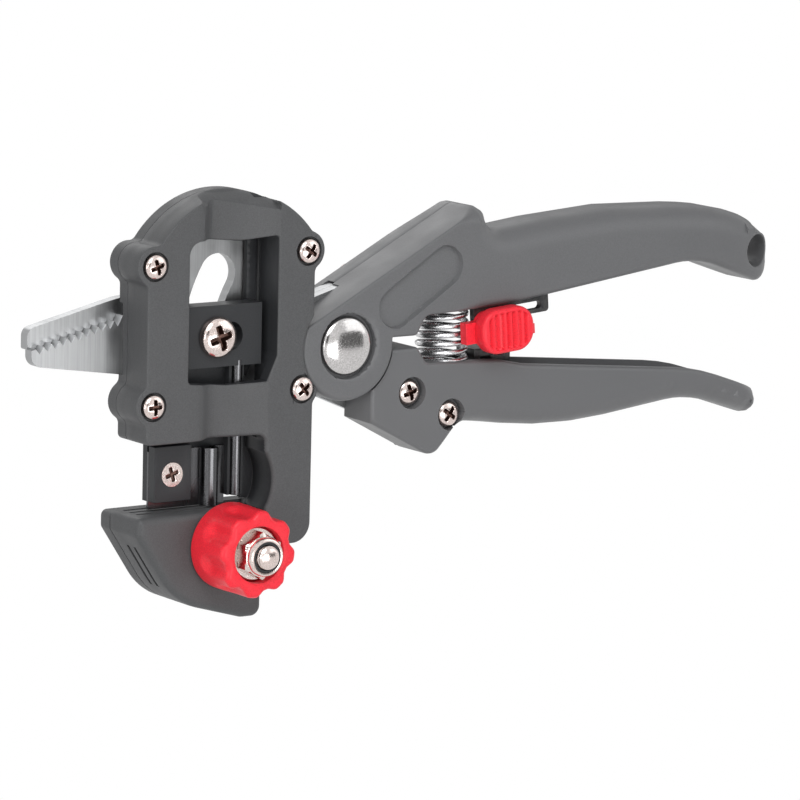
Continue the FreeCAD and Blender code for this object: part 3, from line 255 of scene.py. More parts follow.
# %% [markdown]
# ## Finishes
#
# Every finish is built from shader nodes on Object coordinates, so that its grain sits at its real size, in
# metres, and stays on the piece when the piece moves. A few noises of different sizes are laid over each
# other: one stains the colour, one varies the gloss and some raise the surface. A value that is the same all
# over goes straight onto the shader's own socket.

# %% Helpers for finishes
def grain(tree, where, size, detail=3.0, stretch=(1.0, 1.0, 1.0), turn=(0.0, 0.0, 0.0)):
    """Noise whose features measure about size millimetres, longer along an axis whose stretch is above 1."""
    mapping = add_node(
        tree, "Mapping", [("Vector", where)],
        Rotation=[math.radians(a) for a in turn], Scale=[1.0 / (size * MM * s) for s in stretch])
    noise = add_node(tree, "TexNoise", [("Vector", mapping.outputs["Vector"])], Scale=1.0, Detail=detail)
    return noise.outputs["Fac"]


MID_NOISE = (0.35, 0.65)


def spread(tree, value, low, high):
    """Maps the middle of a noise from low to high."""
    node = add_node(
        tree, "MapRange", [("Value", value)],
        From_Min=MID_NOISE[0], From_Max=MID_NOISE[1], To_Min=low, To_Max=high)
    return node.outputs["Result"]


def tint(tree, value, first, second):
    """A colour that goes from first to second over the middle of a noise."""
    ramp = add_node(tree, "ValToRGB", [("Fac", value)])
    for element, position, colour in zip(ramp.color_ramp.elements, MID_NOISE, (first, second)):
        element.position = position
        element.color = (*colour, 1.0)
    return ramp.outputs["Color"]


def shades(colour, deep, pale):
    """A colour made darker and lighter by two shares."""
    return tuple(c * deep for c in colour), tuple(min(1.0, c * pale) for c in colour)


def finish(name, colour, rough, noises, stain, dull, raised, metal=0.0, gloss=0.25):
    """A material over named noises.

    noises holds grain's values by name, stain is (noise, deep, pale), dull is (noise, low, high) for the
    roughness, and raised holds (noise, height in millimetres) for bumps that are laid on each other.
    """
    material = bpy.data.materials.new(name)
    material.use_nodes = True
    tree = material.node_tree
    shader = tree.nodes["Principled BSDF"]
    plain = {"Base Color": (*colour, 1.0), "Roughness": rough, "Metallic": metal, "Specular IOR Level": gloss}
    for socket, value in plain.items():
        shader.inputs[socket].default_value = value
    where = add_node(tree, "TexCoord").outputs["Object"]
    made = {key: grain(tree, where, *values) for key, values in noises.items()}
    tree.links.new(tint(tree, made[stain[0]], *stain[1:]), shader.inputs["Base Color"])
    tree.links.new(spread(tree, made[dull[0]], *dull[1:]), shader.inputs["Roughness"])
    below = []
    for key, height in raised:
        bump = add_node(tree, "Bump", [("Height", made[key])] + below, Distance=height * MM)
        below = [("Normal", bump.outputs["Normal"])]
    tree.links.new(bump.outputs["Normal"], shader.inputs["Normal"])
    return material


# %% [markdown]
# The handles are die-cast and carry a semi-gloss grey enamel. Sprayed enamel is never quite flat: it has a
# soft orange peel about a millimetre across, a much finer dust in it, and its gloss changes a little from
# place to place.

# %% Grey enamel on the handles
HANDLE_ENAMEL = finish(
    "handle_enamel", (0.098, 0.099, 0.102), 0.42,
    noises={"broad": (9.0, 2.0), "peel": (0.9, 3.0), "dust": (0.16, 4.0)},
    stain=("dust", (0.088, 0.089, 0.092), (0.112, 0.113, 0.117)), dull=("broad", 0.36, 0.46),
    raised=[("peel", 0.018), ("dust", 0.006)], gloss=0.35)
print("finish:", HANDLE_ENAMEL.name)

# %% [markdown]
# The head is moulded in glass-filled nylon. Its skin copies the fine spark grain of the mould, which
# scatters the light and makes it look a little softer and darker than the enamel. The plunger and the
# knife's clamp plate are a darker moulding of the same kind.

# %% Moulded nylon, grey, black and red
def moulded(name, colour, rough, spark_size, spark_height):
    """Moulded plastic: spark grain as relief, flow marks as slow changes of gloss and colour."""
    return finish(
        name, colour, rough,
        noises={"spark": (spark_size, 5.0), "flow": (6.0, 2.0, (1.0, 1.0, 3.0))},
        stain=("spark", *shades(colour, 0.86, 1.16)), dull=("flow", rough - 0.05, rough + 0.06),
        raised=[("spark", spark_height), ("flow", 0.03)])


HEAD_NYLON = moulded("head_nylon", (0.062, 0.063, 0.065), 0.50, 0.24, 0.012)
PLUNGER_NYLON = moulded("plunger_nylon", (0.022, 0.023, 0.025), 0.42, 0.24, 0.009)
KNOB_RED = moulded("knob_red", (0.68, 0.020, 0.034), 0.36, 0.30, 0.005)
print("finishes:", HEAD_NYLON.name, PLUNGER_NYLON.name, KNOB_RED.name)

# %% [markdown]
# The jaw and the blade are hardened and then ground, and the grinding wheel leaves fine lines across them. A
# stretched noise makes such lines: very short across the line and very long along it. A broad noise under it
# changes the roughness, as a polish by hand does. Bright plate is nearly a mirror, with faint waves from the
# metal under it.

# %% Ground steel and bright plate
def ground(name, colour, rough, lean, line_height):
    """Ground steel: lines that lean in the XZ plane, over a few broad clouds left by the polish."""
    turn = (0.0, lean, 0.0)
    return finish(
        name, colour, rough,
        noises={
            "lines": (0.11, 3.0, (1.0, 60.0, 60.0), turn), "coarse": (0.5, 2.0, (1.0, 40.0, 40.0), turn),
            "clouds": (7.0, 3.0)},
        stain=("coarse", *shades(colour, 0.90, 1.06)), dull=("clouds", rough - 0.06, rough + 0.08),
        raised=[("lines", line_height), ("coarse", line_height)], metal=1.0)


def plated(name, colour, rough, wave_height):
    """Bright plate: faint waves, and a few dull spots."""
    return finish(
        name, colour, rough, noises={"waves": (1.3, 2.0), "spots": (0.35, 4.0)},
        stain=("spots", *shades(colour, 0.84, 1.06)), dull=("spots", rough, rough + 0.1),
        raised=[("waves", wave_height)], metal=1.0)


JAW_STEEL = ground("ground_steel", (0.35, 0.355, 0.36), 0.34, 14.0, 0.0014)
# The knife's steel is darkened to nearly black as painted shade, for the knife and its rod in the dark of the
# plunger's room; the sliding sleeve and the other solids of this slot take it too.
KNIFE_STEEL_SHADED = ground("knife_steel_painted_shade", (0.10, 0.10, 0.105), 0.24, 90.0, 0.0015)
NICKEL = plated("warm_nickel", (0.70, 0.60, 0.565), 0.14, 0.006)
# A dark brown plate laid on the screws' cross recesses as painted shade.
RECESS_SHADE = plated("painted_shade_recess", (0.095, 0.055, 0.045), 0.34, 0.004)
CHROME = plated("bright_chrome", (0.56, 0.545, 0.54), 0.10, 0.004)
WIRE = plated("drawn_wire", (0.60, 0.60, 0.61), 0.22, 0.010)
print("finishes:", JAW_STEEL.name, KNIFE_STEEL_SHADED.name, NICKEL.name, CHROME.name, WIRE.name)

# %% [markdown]
# The rail, its pins, the hook and the catch are blackened in oil. The black film is thin, so its gloss is
# patchy and it shows a hint of the steel where it rubs.

# %% Black oxide
BLACK_OXIDE = finish(
    "black_oxide", (0.05, 0.05, 0.052), 0.4, noises={"patches": (1.6, 4.0), "fine": (0.2, 3.0)},
    stain=("patches", (0.035, 0.035, 0.037), (0.085, 0.084, 0.082)), dull=("patches", 0.48, 0.32),
    raised=[("fine", 0.006)], metal=0.6)
NODE_FINISH = {
    "handle_grey": HANDLE_ENAMEL, "head_grey": HEAD_NYLON, "plunger_black": PLUNGER_NYLON,
    "ground_steel": KNIFE_STEEL_SHADED, "bright_fastener": CHROME, "spring_steel": WIRE,
    "rail_steel": BLACK_OXIDE, "knob_red": KNOB_RED,
}
for row in frame["record"]["subparts"]:
    held = nodes[row["node"]]
    held.data.materials.clear()
    held.data.materials.append(NODE_FINISH[row["material_slot"]])
print("finishes on", len(nodes), "solids")

# %% [markdown]
# ## Shapes as height fields over an outline
#
# Most mouldings of this tool are flat-sided: seen from the front each has an outline, and its edges are
# rounded over. Such a shape is worked out as two height fields, a front and a back, over the area inside the
# outline. How far a point lies from the outline says how far the face has fallen away there, so one formula
# rounds every edge, also where the radius changes along it. First come the outline's corners, joined by
# tangent arcs.

# %% Outlines
LINE_STEP = 0.9
ARC_STEP = math.radians(6)
SAME_POINT = 1e-4


def refine(loop, spacing=LINE_STEP):
    """The same closed line with points no further apart than spacing: p * (1 - t) + q * t on each run."""
    following = np.roll(loop, -1, 0)
    count = np.maximum(1, np.ceil(np.linalg.norm(following - loop, axis=1) / spacing).astype(int))
    index = np.repeat(np.arange(len(loop)), count)
    share = (np.arange(len(index)) - np.repeat(np.cumsum(count) - count, count)) / count[index]
    points = loop[index] * (1 - share[:, None]) + following[index] * share[:, None]
    return points[np.linalg.norm(points - np.roll(points, 1, 0), axis=1) > SAME_POINT]


def rounded_outline(corners, spacing=LINE_STEP):
    """Runs and arcs from corners (x, z, radius): an arc's centre is radius / sin(half the angle) inwards."""
    rows = np.array(corners, float)
    spots, radii = rows[:, :2], rows[:, 2]
    before = np.roll(spots, 1, 0) - spots
    after = np.roll(spots, -1, 0) - spots
    run = np.linalg.norm(after, axis=1)
    before /= np.linalg.norm(before, axis=1)[:, None]
    after /= run[:, None]
    half = np.arccos(np.clip((before * after).sum(1), -1, 1)) / 2
    half = np.minimum(half, math.pi / 2 - 1e-5)
    back = radii / np.tan(half)
    room = np.minimum(1.0, 0.9999 * run / np.maximum(back + np.roll(back, -1), 1e-9))
    back = back * np.minimum(room, np.roll(room, 1))
    parts = []
    for i, spot in enumerate(spots):
        if back[i] < 1e-5:
            parts.append(spot[None])
            continue
        toward = (before[i] + after[i]) / np.linalg.norm(before[i] + after[i])
        centre = spot + toward * back[i] / math.cos(half[i])
        first, last = spot + before[i] * back[i] - centre, spot + after[i] * back[i] - centre
        turn = math.pi - 2 * half[i]
        share = np.linspace(0, 1, max(2, math.ceil(turn / ARC_STEP)) + 1)[:, None]
        arc = (np.sin((1 - share) * turn) * first + np.sin(share * turn) * last) / math.sin(turn)
        parts.append(centre + arc)
    return refine(np.concatenate(parts), spacing)


def open_run(corners):
    """The rounded line through corners, from the first to the last, without the run that would close it."""
    return rounded_outline(corners + [(corners[-1][0], corners[0][1] - 60.0, 0.0)], 400.0)[:-1]


def arc_points(x, z, radius, start, stop, step):
    """Points on a circle from one angle to another, in degrees."""
    angle = np.radians(np.linspace(start, stop, max(2, math.ceil(abs(stop - start) / step)) + 1))
    return np.stack([x + radius * np.cos(angle), z + radius * np.sin(angle)], 1)


def ring(x, z, radius, count=40):
    """A closed circle of points."""
    return arc_points(x, z, radius, 0, 360, 360 / count)[:-1]


# %% [markdown]
# The distance to an outline is found for all points at once: each point is dropped onto each short run of
# the outline, and the nearest foot wins. Counting how often a ray to the right crosses the outline tells
# inside from outside. Both work through the points in batches, so that the tables of pairs stay small.

# %% Distance and inside
PAIRS_AT_ONCE = 500000


def batches(points, loop):
    """The points' numbers in batches whose pairs with the loop's points fit in the memory."""
    return np.array_split(np.arange(len(points)), 1 + len(points) * len(loop) // PAIRS_AT_ONCE)


def edge_distance(points, loops):
    """The distance of each point to the outlines, and the outline point where it is met."""
    best = np.full(len(points), np.inf)
    met = np.zeros((len(points), 2))
    for loop in loops:
        run = np.roll(loop, -1, 0) - loop
        square = (run ** 2).sum(1)
        for part in batches(points, loop):
            gap = points[part, None] - loop[None]
            share = np.clip((gap * run).sum(2) / square, 0.0, 1.0)
            foot = loop[None] + share[..., None] * run[None]
            reach = np.linalg.norm(points[part, None] - foot, axis=2)
            which = reach.argmin(1)
            rows = np.arange(len(part))
            better = reach[rows, which] < best[part]
            best[part[better]] = reach[rows, which][better]
            met[part[better]] = foot[rows, which][better]
    return best, met


def inside(points, loops):
    """True where a ray to the right crosses the outlines an odd number of times."""
    odd = np.zeros(len(points), bool)
    for loop in loops:
        x0, z0 = loop.T
        x1, z1 = np.roll(loop, -1, 0).T
        rise = np.where(z1 == z0, 1e-12, z1 - z0)
        for part in batches(points, loop):
            x, z = points[part, 0:1], points[part, 1:2]
            spans = (z0 > z) != (z1 > z)
            odd[part] ^= (spans & (x < x0 + (z - z0) * (x1 - x0) / rise)).sum(1) % 2 == 1
    return odd


def smooth(value, start, stop):
    """0 before start, 1 after stop, and 3t^2 - 2t^3 between."""
    t = np.clip((value - start) / (stop - start), 0.0, 1.0)
    return t * t * (3 - 2 * t)


# %% [markdown]
# The area is filled with triangles: rings of points follow the outline where the edge is rounded, a plain
# grid fills the rest, and a constrained Delaunay triangulation joins them.

# %% The filled area and the solid over it
ROUNDING_ANGLES = (25, 45, 62, 77, 90)
WALL_ROWS = 4


def fill_region(loops, spacing, radius, extra):
    """Triangles inside outlines, with rings at shares of the local edge radius and a grid beyond them."""
    spots = [np.concatenate(loops)]
    for angle in ROUNDING_ANGLES:
        for loop in loops:
            depth = radius(loop) * (1 - math.cos(math.radians(angle)))
            along = np.roll(loop, -1, 0) - np.roll(loop, 1, 0)
            across = np.stack([-along[:, 1], along[:, 0]], 1) / np.linalg.norm(along, axis=1)[:, None]
            line = loop + across * depth[:, None]
            reach, _ = edge_distance(line, loops)
            spots.append(line[(reach > depth * 0.9) & (depth > 0.03) & inside(line, loops)])
    low, high = spots[0].min(0), spots[0].max(0)
    axes = [np.arange(a + spacing / 3, b, spacing) for a, b in zip(low, high)]
    grid = np.stack(np.meshgrid(*axes), -1).reshape(-1, 2)
    reach, met = edge_distance(grid, loops)
    spots.append(grid[(reach > radius(met) + spacing * 0.45) & inside(grid, loops)])
    for line in extra:
        line = line[inside(line, loops)]
        spots.append(line[edge_distance(line, loops)[0] > 0.06])
    edges, start = [], 0
    for loop in loops:
        index = start + np.arange(len(loop))
        edges += np.stack([index, np.roll(index, -1)], 1).tolist()
        start += len(loop)
    made = delaunay_2d_cdt([Vector(p) for p in np.concatenate(spots)], edges, [], 1, 1e-5)
    flat = np.array([p[:] for p in made[0]])
    faces = np.array(made[2])
    middle = flat[faces].mean(1)
    hollow = [inside(middle, [loop]) for loop in loops[1:]]
    return flat, faces[~np.any(hollow, axis=0)] if hollow else faces


def slab(loops, front, back, round_front, round_back, spacing=1.4, extra=()):
    """Two height fields over one area and the walls between them.

    A face at distance d from the outline falls away by r - sqrt(r^2 - (r - d)^2) where the edge radius is r > d.
    A height or radius that is the same everywhere is given as a number.
    """
    front, back, round_front, round_back = (
        value if callable(value) else constant(value) for value in (front, back, round_front, round_back))
    loops = [np.asarray(loop, float) for loop in loops]
    for i, loop in enumerate(loops):
        area = (loop[:, 0] * np.roll(loop[:, 1], -1) - np.roll(loop[:, 0], -1) * loop[:, 1]).sum()
        if (area > 0) == (i > 0):
            loops[i] = loop[::-1]
    parts = []
    for height, radius, way in ((front, round_front, 1), (back, round_back, -1)):
        flat, faces = fill_region(loops, spacing, radius, extra)
        reach, met = edge_distance(flat, loops)
        r = radius(met)
        fall = r - np.sqrt(np.maximum(r ** 2 - np.maximum(r - reach, 0.0) ** 2, 0.0))
        parts.append((np.column_stack([flat[:, 0], height(flat) + way * fall, flat[:, 1]]), faces.tolist()))
    for loop in loops:
        share = np.linspace(0, 1, WALL_ROWS)[:, None]
        rows = (front(loop) + round_front(loop)) * (1 - share) + (back(loop) - round_back(loop)) * share
        wall = np.broadcast_arrays(loop[:, 0], rows, loop[:, 1])
        parts.append(grid_sheet(np.stack(wall, -1), True))
    return parts


def constant(value):
    """A height or radius that is the same everywhere."""
    return lambda points: np.full(len(points), float(value))


# %% [markdown]
# Turned shapes are grids of points whose rows are closed round an axis along Y. A radius and a level for
# each point describe a lathe's profile, a knob's lobes or a thread alike.

# %% Turned surfaces
def grid_sheet(points, closed_across=False, closed_along=False):
    """Faces between the rows of a grid of points; a closed direction joins its last line to its first."""
    rows, columns = points.shape[:2]
    index = np.arange(rows * columns).reshape(rows, columns)
    if closed_across:
        index = np.concatenate([index, index[:, :1]], 1)
    if closed_along:
        index = np.concatenate([index, index[:1]], 0)
    quads = np.stack([index[:-1, :-1], index[:-1, 1:], index[1:, 1:], index[1:, :-1]], -1)
    return points.reshape(-1, 3), quads.reshape(-1, 4).tolist()


def full_turn(count):
    """Angles all round, without the last one that would meet the first."""
    return np.arange(count) * 2 * math.pi / count


def around(spot, radius, level, angle):
    """Points round an axis along Y: (x + r cos a, y, z + r sin a)."""
    radius, level, angle = np.broadcast_arrays(radius, level, angle)
    return np.stack([spot[0] + radius * np.cos(angle), level, spot[1] + radius * np.sin(angle)], -1)


def turned(spot, rows, count):
    """The grid of points of a turned profile, one row for each (r, y)."""
    rows = np.array(rows, float)
    return around(spot, rows[:, :1], rows[:, 1:2], full_turn(count))


def lathe(spot, rows, count):
    """The surface of a turned profile that starts and ends on the axis or at another surface."""
    return grid_sheet(turned(spot, rows, count), True)


def lathe_ring(spot, rows, count):
    """The surface of a turned ring, whose profile closes on itself."""
    return grid_sheet(turned(spot, rows, count), True, True)


# %% [markdown]
# A list of such surfaces becomes one Blender piece: their points are put together, the seams between them
# are merged, the faces are turned outwards, and edges sharper than a given angle are marked so that they
# stay crisp. Slots and hollows are then cut out with Blender's exact boolean, and the result is kept as a
# plain mesh.

# %% From surfaces to a piece
@contextmanager
def editing(mesh, merged=3e-6):
    """A mesh opened for editing, its points closer than merged joined; it is written back at the end."""
    shape = bmesh.new()
    shape.from_mesh(mesh)
    bmesh.ops.remove_doubles(shape, verts=shape.verts, dist=merged)
    yield shape
    shape.to_mesh(mesh)
    shape.free()


def close_up(mesh):
    """Merges points that coincide, fills the holes that slivers leave, and turns the faces outwards."""
    with editing(mesh) as shape:
        torn = [edge for edge in shape.edges if len(edge.link_faces) == 1]
        if torn:
            bmesh.ops.holes_fill(shape, edges=torn, sides=8)
        bmesh.ops.recalc_face_normals(shape, faces=shape.faces)


def to_mesh(name, parts):
    """One mesh in metres from surfaces in drawing millimetres, merged and facing outwards."""
    start, points, faces = 0, [], []
    for spots, made in parts:
        points.append(spots)
        faces += [[i + start for i in face] for face in made]
        start += len(spots)
    mesh = bpy.data.meshes.new(name)
    mesh.from_pydata(place(np.concatenate(points)).tolist(), [], faces)
    close_up(mesh)
    return mesh


def add_piece(name, mesh, body, finish, replaced, sharp=38):
    """Puts a mesh in the scene as a piece that rides on a body, if one is named, and stands for CAD nodes."""
    mesh.shade_smooth()
    mesh.set_sharp_from_angle(angle=math.radians(sharp))
    mesh.materials.clear()
    mesh.materials.append(finish)
    piece = linked(name, mesh)
    if body:
        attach(piece, body)
    if replaced:
        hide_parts(*replaced)
    print(name, len(mesh.polygons), "faces")
    return piece


def carved(mesh, cutters):
    """The mesh with each cutter taken away by an exact boolean; cutters has a name for each of them."""
    target = linked("carving", mesh)
    tools = []
    for name, parts in cutters.items():
        tools.append(linked(name, to_mesh(name, parts)))
        modifier = target.modifiers.new(name, "BOOLEAN")
        modifier.operation = "DIFFERENCE"
        modifier.solver = "EXACT"
        modifier.object = tools[-1]
    graph = bpy.context.evaluated_depsgraph_get()
    made = bpy.data.meshes.new_from_object(target.evaluated_get(graph))
    for thing in [target] + tools:
        old = thing.data
        bpy.data.objects.remove(thing)
        bpy.data.meshes.remove(old)
    close_up(made)
    return made


def capped(rows):
    """A cutter between two closed rows of points, with a flat face at each end."""
    points, faces = grid_sheet(rows, True)
    count = rows.shape[1]
    return [(points, faces + [list(range(count)), list(range(count, 2 * count))])]


def prism(loop, y0, y1):
    """A cutter: an outline in XZ drawn from y0 to y1."""
    x, z = np.asarray(loop, float).T
    return capped(np.stack([np.column_stack([x, np.full(len(x), y), z]) for y in (y0, y1)]))


def block(x0, x1, y0, y1, z0, z1):
    """A box-shaped cutter."""
    return prism([(x0, z0), (x1, z0), (x1, z1), (x0, z1)], y0, y1)


def upright_round(x, y, radius, z0, z1, count=56):
    """A round cutter that stands along Z."""
    a = full_turn(count)
    x, y = x + radius * np.cos(a), y + radius * np.sin(a)
    return capped(np.stack([np.column_stack([x, y, np.full(count, z)]) for z in (z0, z1)]))


def bores(places, radius, y0, y1):
    """A cutter for each screw's shank."""
    return {"shank_%d" % i: prism(ring(x, z, radius, 24), y0, y1) for i, (x, z) in enumerate(places)}


# %% [markdown]
# ## The handles
#
# A handle is a die-cast channel. Its side outline is a chain of long arcs, its width tapers to half an
# ellipse at the tail, and its back is rounded to fill the palm while the open side stays crisp. So the edge
# radius is a function of place: small on the flat nose, large along the grip's back, small again along the
# open side.

# %% What both handles share
GRIP_MID = -3.5
BOSS_R = 13.5
BOSS_START, BOSS_STOP = 5.1423, -202.1
NOSE_TANGENT = (-12.5, 5.07, 0.0)
NOSE_APEX = (41.3, 33.45, 3.4)
UNDER_NOSE = [(23.26, 6.16, 2.4), (20.67, 1.21, 1.4), (13.4457, 1.21, 0.0)]


def swing(x, z, angle):
    """Coordinates turned by an angle in the XZ plane: (x cos a - z sin a, x sin a + z cos a)."""
    c, s = math.cos(angle), math.sin(angle)
    return x * c - z * s, x * s + z * c


def nose_line(corners):
    """The boss, the nose's slope up to its apex, and the corners from there on, as one closed line."""
    boss = arc_points(0, 0, BOSS_R, BOSS_START, BOSS_STOP, 4.0)[1:-1]
    return refine(np.concatenate([open_run([NOSE_TANGENT, NOSE_APEX] + corners + UNDER_NOSE), boss]))


def half_width(x, half, taper, end):
    """Half the width of a handle: constant, then half * sqrt(1 - ((x - start) / taper)^2)."""
    share = np.clip((x - (end - taper)) / taper, 0.0, 0.999)
    return half * np.sqrt(1 - share ** 2)


def side_face(bow, way, *sinks):
    """A face of a handle: its middle + way * half width, and each recess sinks it further."""
    def height(points):
        level = GRIP_MID + way * half_width(points[:, 0], *bow)
        for sink in sinks:
            level = level + sink(points)
        return level
    return height


# %% [markdown]
# The upper handle carries the recess of the label, which stays empty, the counterbore of the pivot's dome
# nut and the hanging hole. Both recesses are steps in the front face's height, with a soft rim.

# %% The upper handle
UPPER_BOW = (9.5, 20.0, 136.0)
BAY = 7.15
HANG_HOLE, HANG_R = (128.5, 15.9), 4.2
GRIP_TOP = [
    (43.9, 25.4, 4.2), (82.28, 30.31, 217.6), (116.96, 27.85, 59.8), (134.10, 22.07, 13.3),
    (135.46, 5.54, 4.9), (108.39, 15.19, 29.9), (46.10, 6.75, 149.6),
]
LABEL_SPOT, LABEL_ANGLE = (21.2, 13.4), math.radians(33.0)
LABEL_R, LABEL_DEPTH = 5.1, 1.1
LABEL_HALF = 27.5 / 2 - LABEL_R
NUT_ROOM_R, NUT_ROOM_DEPTH = 8.1, 1.9


def upper_round(points):
    """Edge radius: 1.2 on the boss, 0.6 on the nose, 6.2 on the back, 2.2 on the open side, 0.5 at the hole."""
    x, z = points.T
    grip = 2.2 + 4.0 * smooth(z, 13.5, 22.5)
    nose = 1.2 - 0.6 * smooth(z, 3.0, 8.0)
    radius = nose + (grip - nose) * smooth(x, 32.0, 41.0)
    radius = np.minimum(radius, 0.9 * half_width(x, *UPPER_BOW))
    return np.where(np.hypot(x - HANG_HOLE[0], z - HANG_HOLE[1]) < HANG_R + 0.1, 0.5, radius)


def label_line(grow):
    """The stadium outline of the empty label recess, larger all round by grow."""
    radius = LABEL_R + grow
    ends = [arc_points(LABEL_HALF, 0, radius, -90, 90, 9), arc_points(-LABEL_HALF, 0, radius, 90, 270, 9)]
    return np.column_stack(swing(*refine(np.concatenate(ends), 1.0).T, LABEL_ANGLE)) + LABEL_SPOT


def label_sink(points):
    """Depth of the label recess inside the stadium, with a rim a third of a millimetre wide."""
    u, v = swing(*(points - LABEL_SPOT).T, -LABEL_ANGLE)
    reach = np.hypot(np.maximum(np.abs(u) - LABEL_HALF, 0), v) - LABEL_R
    return LABEL_DEPTH * smooth(-reach, -0.1, 0.3)


def nut_sink(points):
    """Depth of the counterbore that the dome nut sits in: a step at its radius, with a soft lip."""
    reach = np.hypot(*points.T)
    lip = 0.35 * smooth(-reach, -NUT_ROOM_R - 0.5, -NUT_ROOM_R)
    return np.where(reach < NUT_ROOM_R + 0.01, NUT_ROOM_DEPTH, lip)


rims = [label_line(g) for g in (-0.5, -0.3, -0.1, 0.1, 0.3)]
rims += [ring(0, 0, r, 64) for r in (8.05, 8.14, 8.35, 8.65)]
upper = to_mesh("upper_grip", slab(
    [nose_line(GRIP_TOP), ring(*HANG_HOLE, HANG_R, 44)], side_face(UPPER_BOW, -1, label_sink, nut_sink),
    side_face(UPPER_BOW, 1), upper_round, upper_round, extra=rims))
palm_room = [(41.4, -35, 2), (41.4, 22.9, 2), (82.3, 26.9, 2), (112, 24.4, 2), (112, -35, 2)]
upper = carved(upper, {
    "rear_casting": block(-20, 36.3, 0, 12, -20, 60),
    "rear_hump": block(30, 41.35, 0, 12, 18.9, 60),
    "blade_disc": prism(ring(0, 0, 13.1, 64), -3, 1),
    "blade_slot": block(-16, 3.6, -3, 1, 7.5, 30),
    "spring_room": block(26.8, 42.4, GRIP_MID - BAY, GRIP_MID + BAY, -35, 11),
    "palm_room": prism(rounded_outline(palm_room, 1.5), GRIP_MID - BAY, GRIP_MID + BAY),
})
add_piece("upper_grip", upper, "upper_side", HANDLE_ENAMEL, ["upper_handle"])

# %% [markdown]
# The lower handle is the same kind of shape the other way up: its open side is on top, and its rounded side
# is where the fingers close. Near the pivot it ends in a cheek that swings in front of the blade's tang.

# %% The lower handle
LOWER_BOW = (8.0, 14.0, 134.0)
LOW_BAY = 5.8
TANG_PLACES = [(20.3, -13.2), (32.3, -19.5)]
LOW_CORNERS = [
    (8.0, -1.86, 0.0), (21.84, -1.86, 1.07), (24.66, -6.09, 1.88), (45.96, -6.6, 29.5), (54.94, -8.49, 20.0),
    (110.01, -13.5, 60.3), (133.73, -21.45, 3.5), (132.26, -28.2, 3.15), (110.42, -20.91, 38.9),
    (66.60, -26.19, 118.0), (35.91, -21.75, 6.0), (27.0, -29.91, 4.2), (8.0, -19.76, 0.0),
]
FINGER_ROOM = [
    (48.0, 5, 0), (48.0, -18.5, 2.2), (66.6, -19.79, 67), (110.42, -17.71, 33), (120.0, -19.3, 2.2),
    (120.0, 5, 0),
]


def lower_round(points):
    """Edge radius: 1.0 on the cheek, 1.2 along the open side, growing to 5.8 under the fingers."""
    x, z = points.T
    open_side = -8.49 + (x - 54.94) * (-5.0 / 55.0)
    under = 1.2 + 4.6 * smooth(open_side - z, 3.0, 9.0)
    radius = 1.0 + (under - 1.0) * smooth(x, 26.0, 46.0)
    return np.minimum(radius, 0.9 * half_width(x, *LOWER_BOW))


def tang_sink(points):
    """Depth of the two counterbores of the tang screws."""
    near = [np.hypot(*(points - spot).T) < 4.01 for spot in TANG_PLACES]
    return np.where(np.any(near, axis=0), 2.6, 0.0)


lower = to_mesh("lower_grip", slab(
    [rounded_outline(LOW_CORNERS)], side_face(LOWER_BOW, -1, tang_sink), side_face(LOWER_BOW, 1), lower_round,
    lower_round, extra=[ring(x, z, r, 40) for x, z in TANG_PLACES for r in (3.97, 4.04)]))
lower = carved(lower, {
    "boss_seat": prism(ring(0, 0, 14.3, 72), -20, 10),
    "tang_side": block(-5, 26.0, 0.05, 10, -60, 30),
    "tang_room": prism([(25.0, -60), (25.0, -8.3), (38.05, -14.85), (38.05, -60)], 0.05, 3.1),
    "finger_room": prism(rounded_outline(FINGER_ROOM, 1.5), GRIP_MID - LOW_BAY, GRIP_MID + LOW_BAY),
    "spring_way": block(34.4, 49.0, GRIP_MID - LOW_BAY, GRIP_MID + LOW_BAY, -9.05, 5),
    "spring_seat": upright_round(34.4, GRIP_MID, BAY, -11.5, 5.0),
})
add_piece("lower_grip", lower, "lower_side", HANDLE_ENAMEL, ["lower_handle"])

# %% [markdown]
# ## Solids that only need softer edges
#
# Many parts are plain machined or moulded shapes that the CAD already has right. Each is copied, its flat
# facets are joined again, and a narrow rounding is laid along its sharp edges, because no real edge is a
# perfect corner. The rounding keeps the flat faces' own normals, so they stay flat to the eye.

# %% Softened copies
SHARP_EDGE = 35


def softened(name, node, body, finish, slot_name, width, cutters=None, segments=3):
    """A copy of a CAD solid with a rounding of width millimetres on every sharp edge."""
    mesh = nodes[node].data.copy()
    with editing(mesh, 2e-6) as shape:
        bmesh.ops.dissolve_limit(shape, angle_limit=math.radians(0.6), verts=shape.verts, edges=shape.edges)
    if cutters:
        mesh = carved(mesh, cutters)
    piece = add_piece(name, mesh, body, finish, [node], SHARP_EDGE)
    bevel = piece.modifiers.new("soft_edge", "BEVEL")
    bevel.width = width * MM
    bevel.segments = segments
    bevel.limit_method = "ANGLE"
    bevel.angle_limit = math.radians(SHARP_EDGE)
    bevel.harden_normals = True


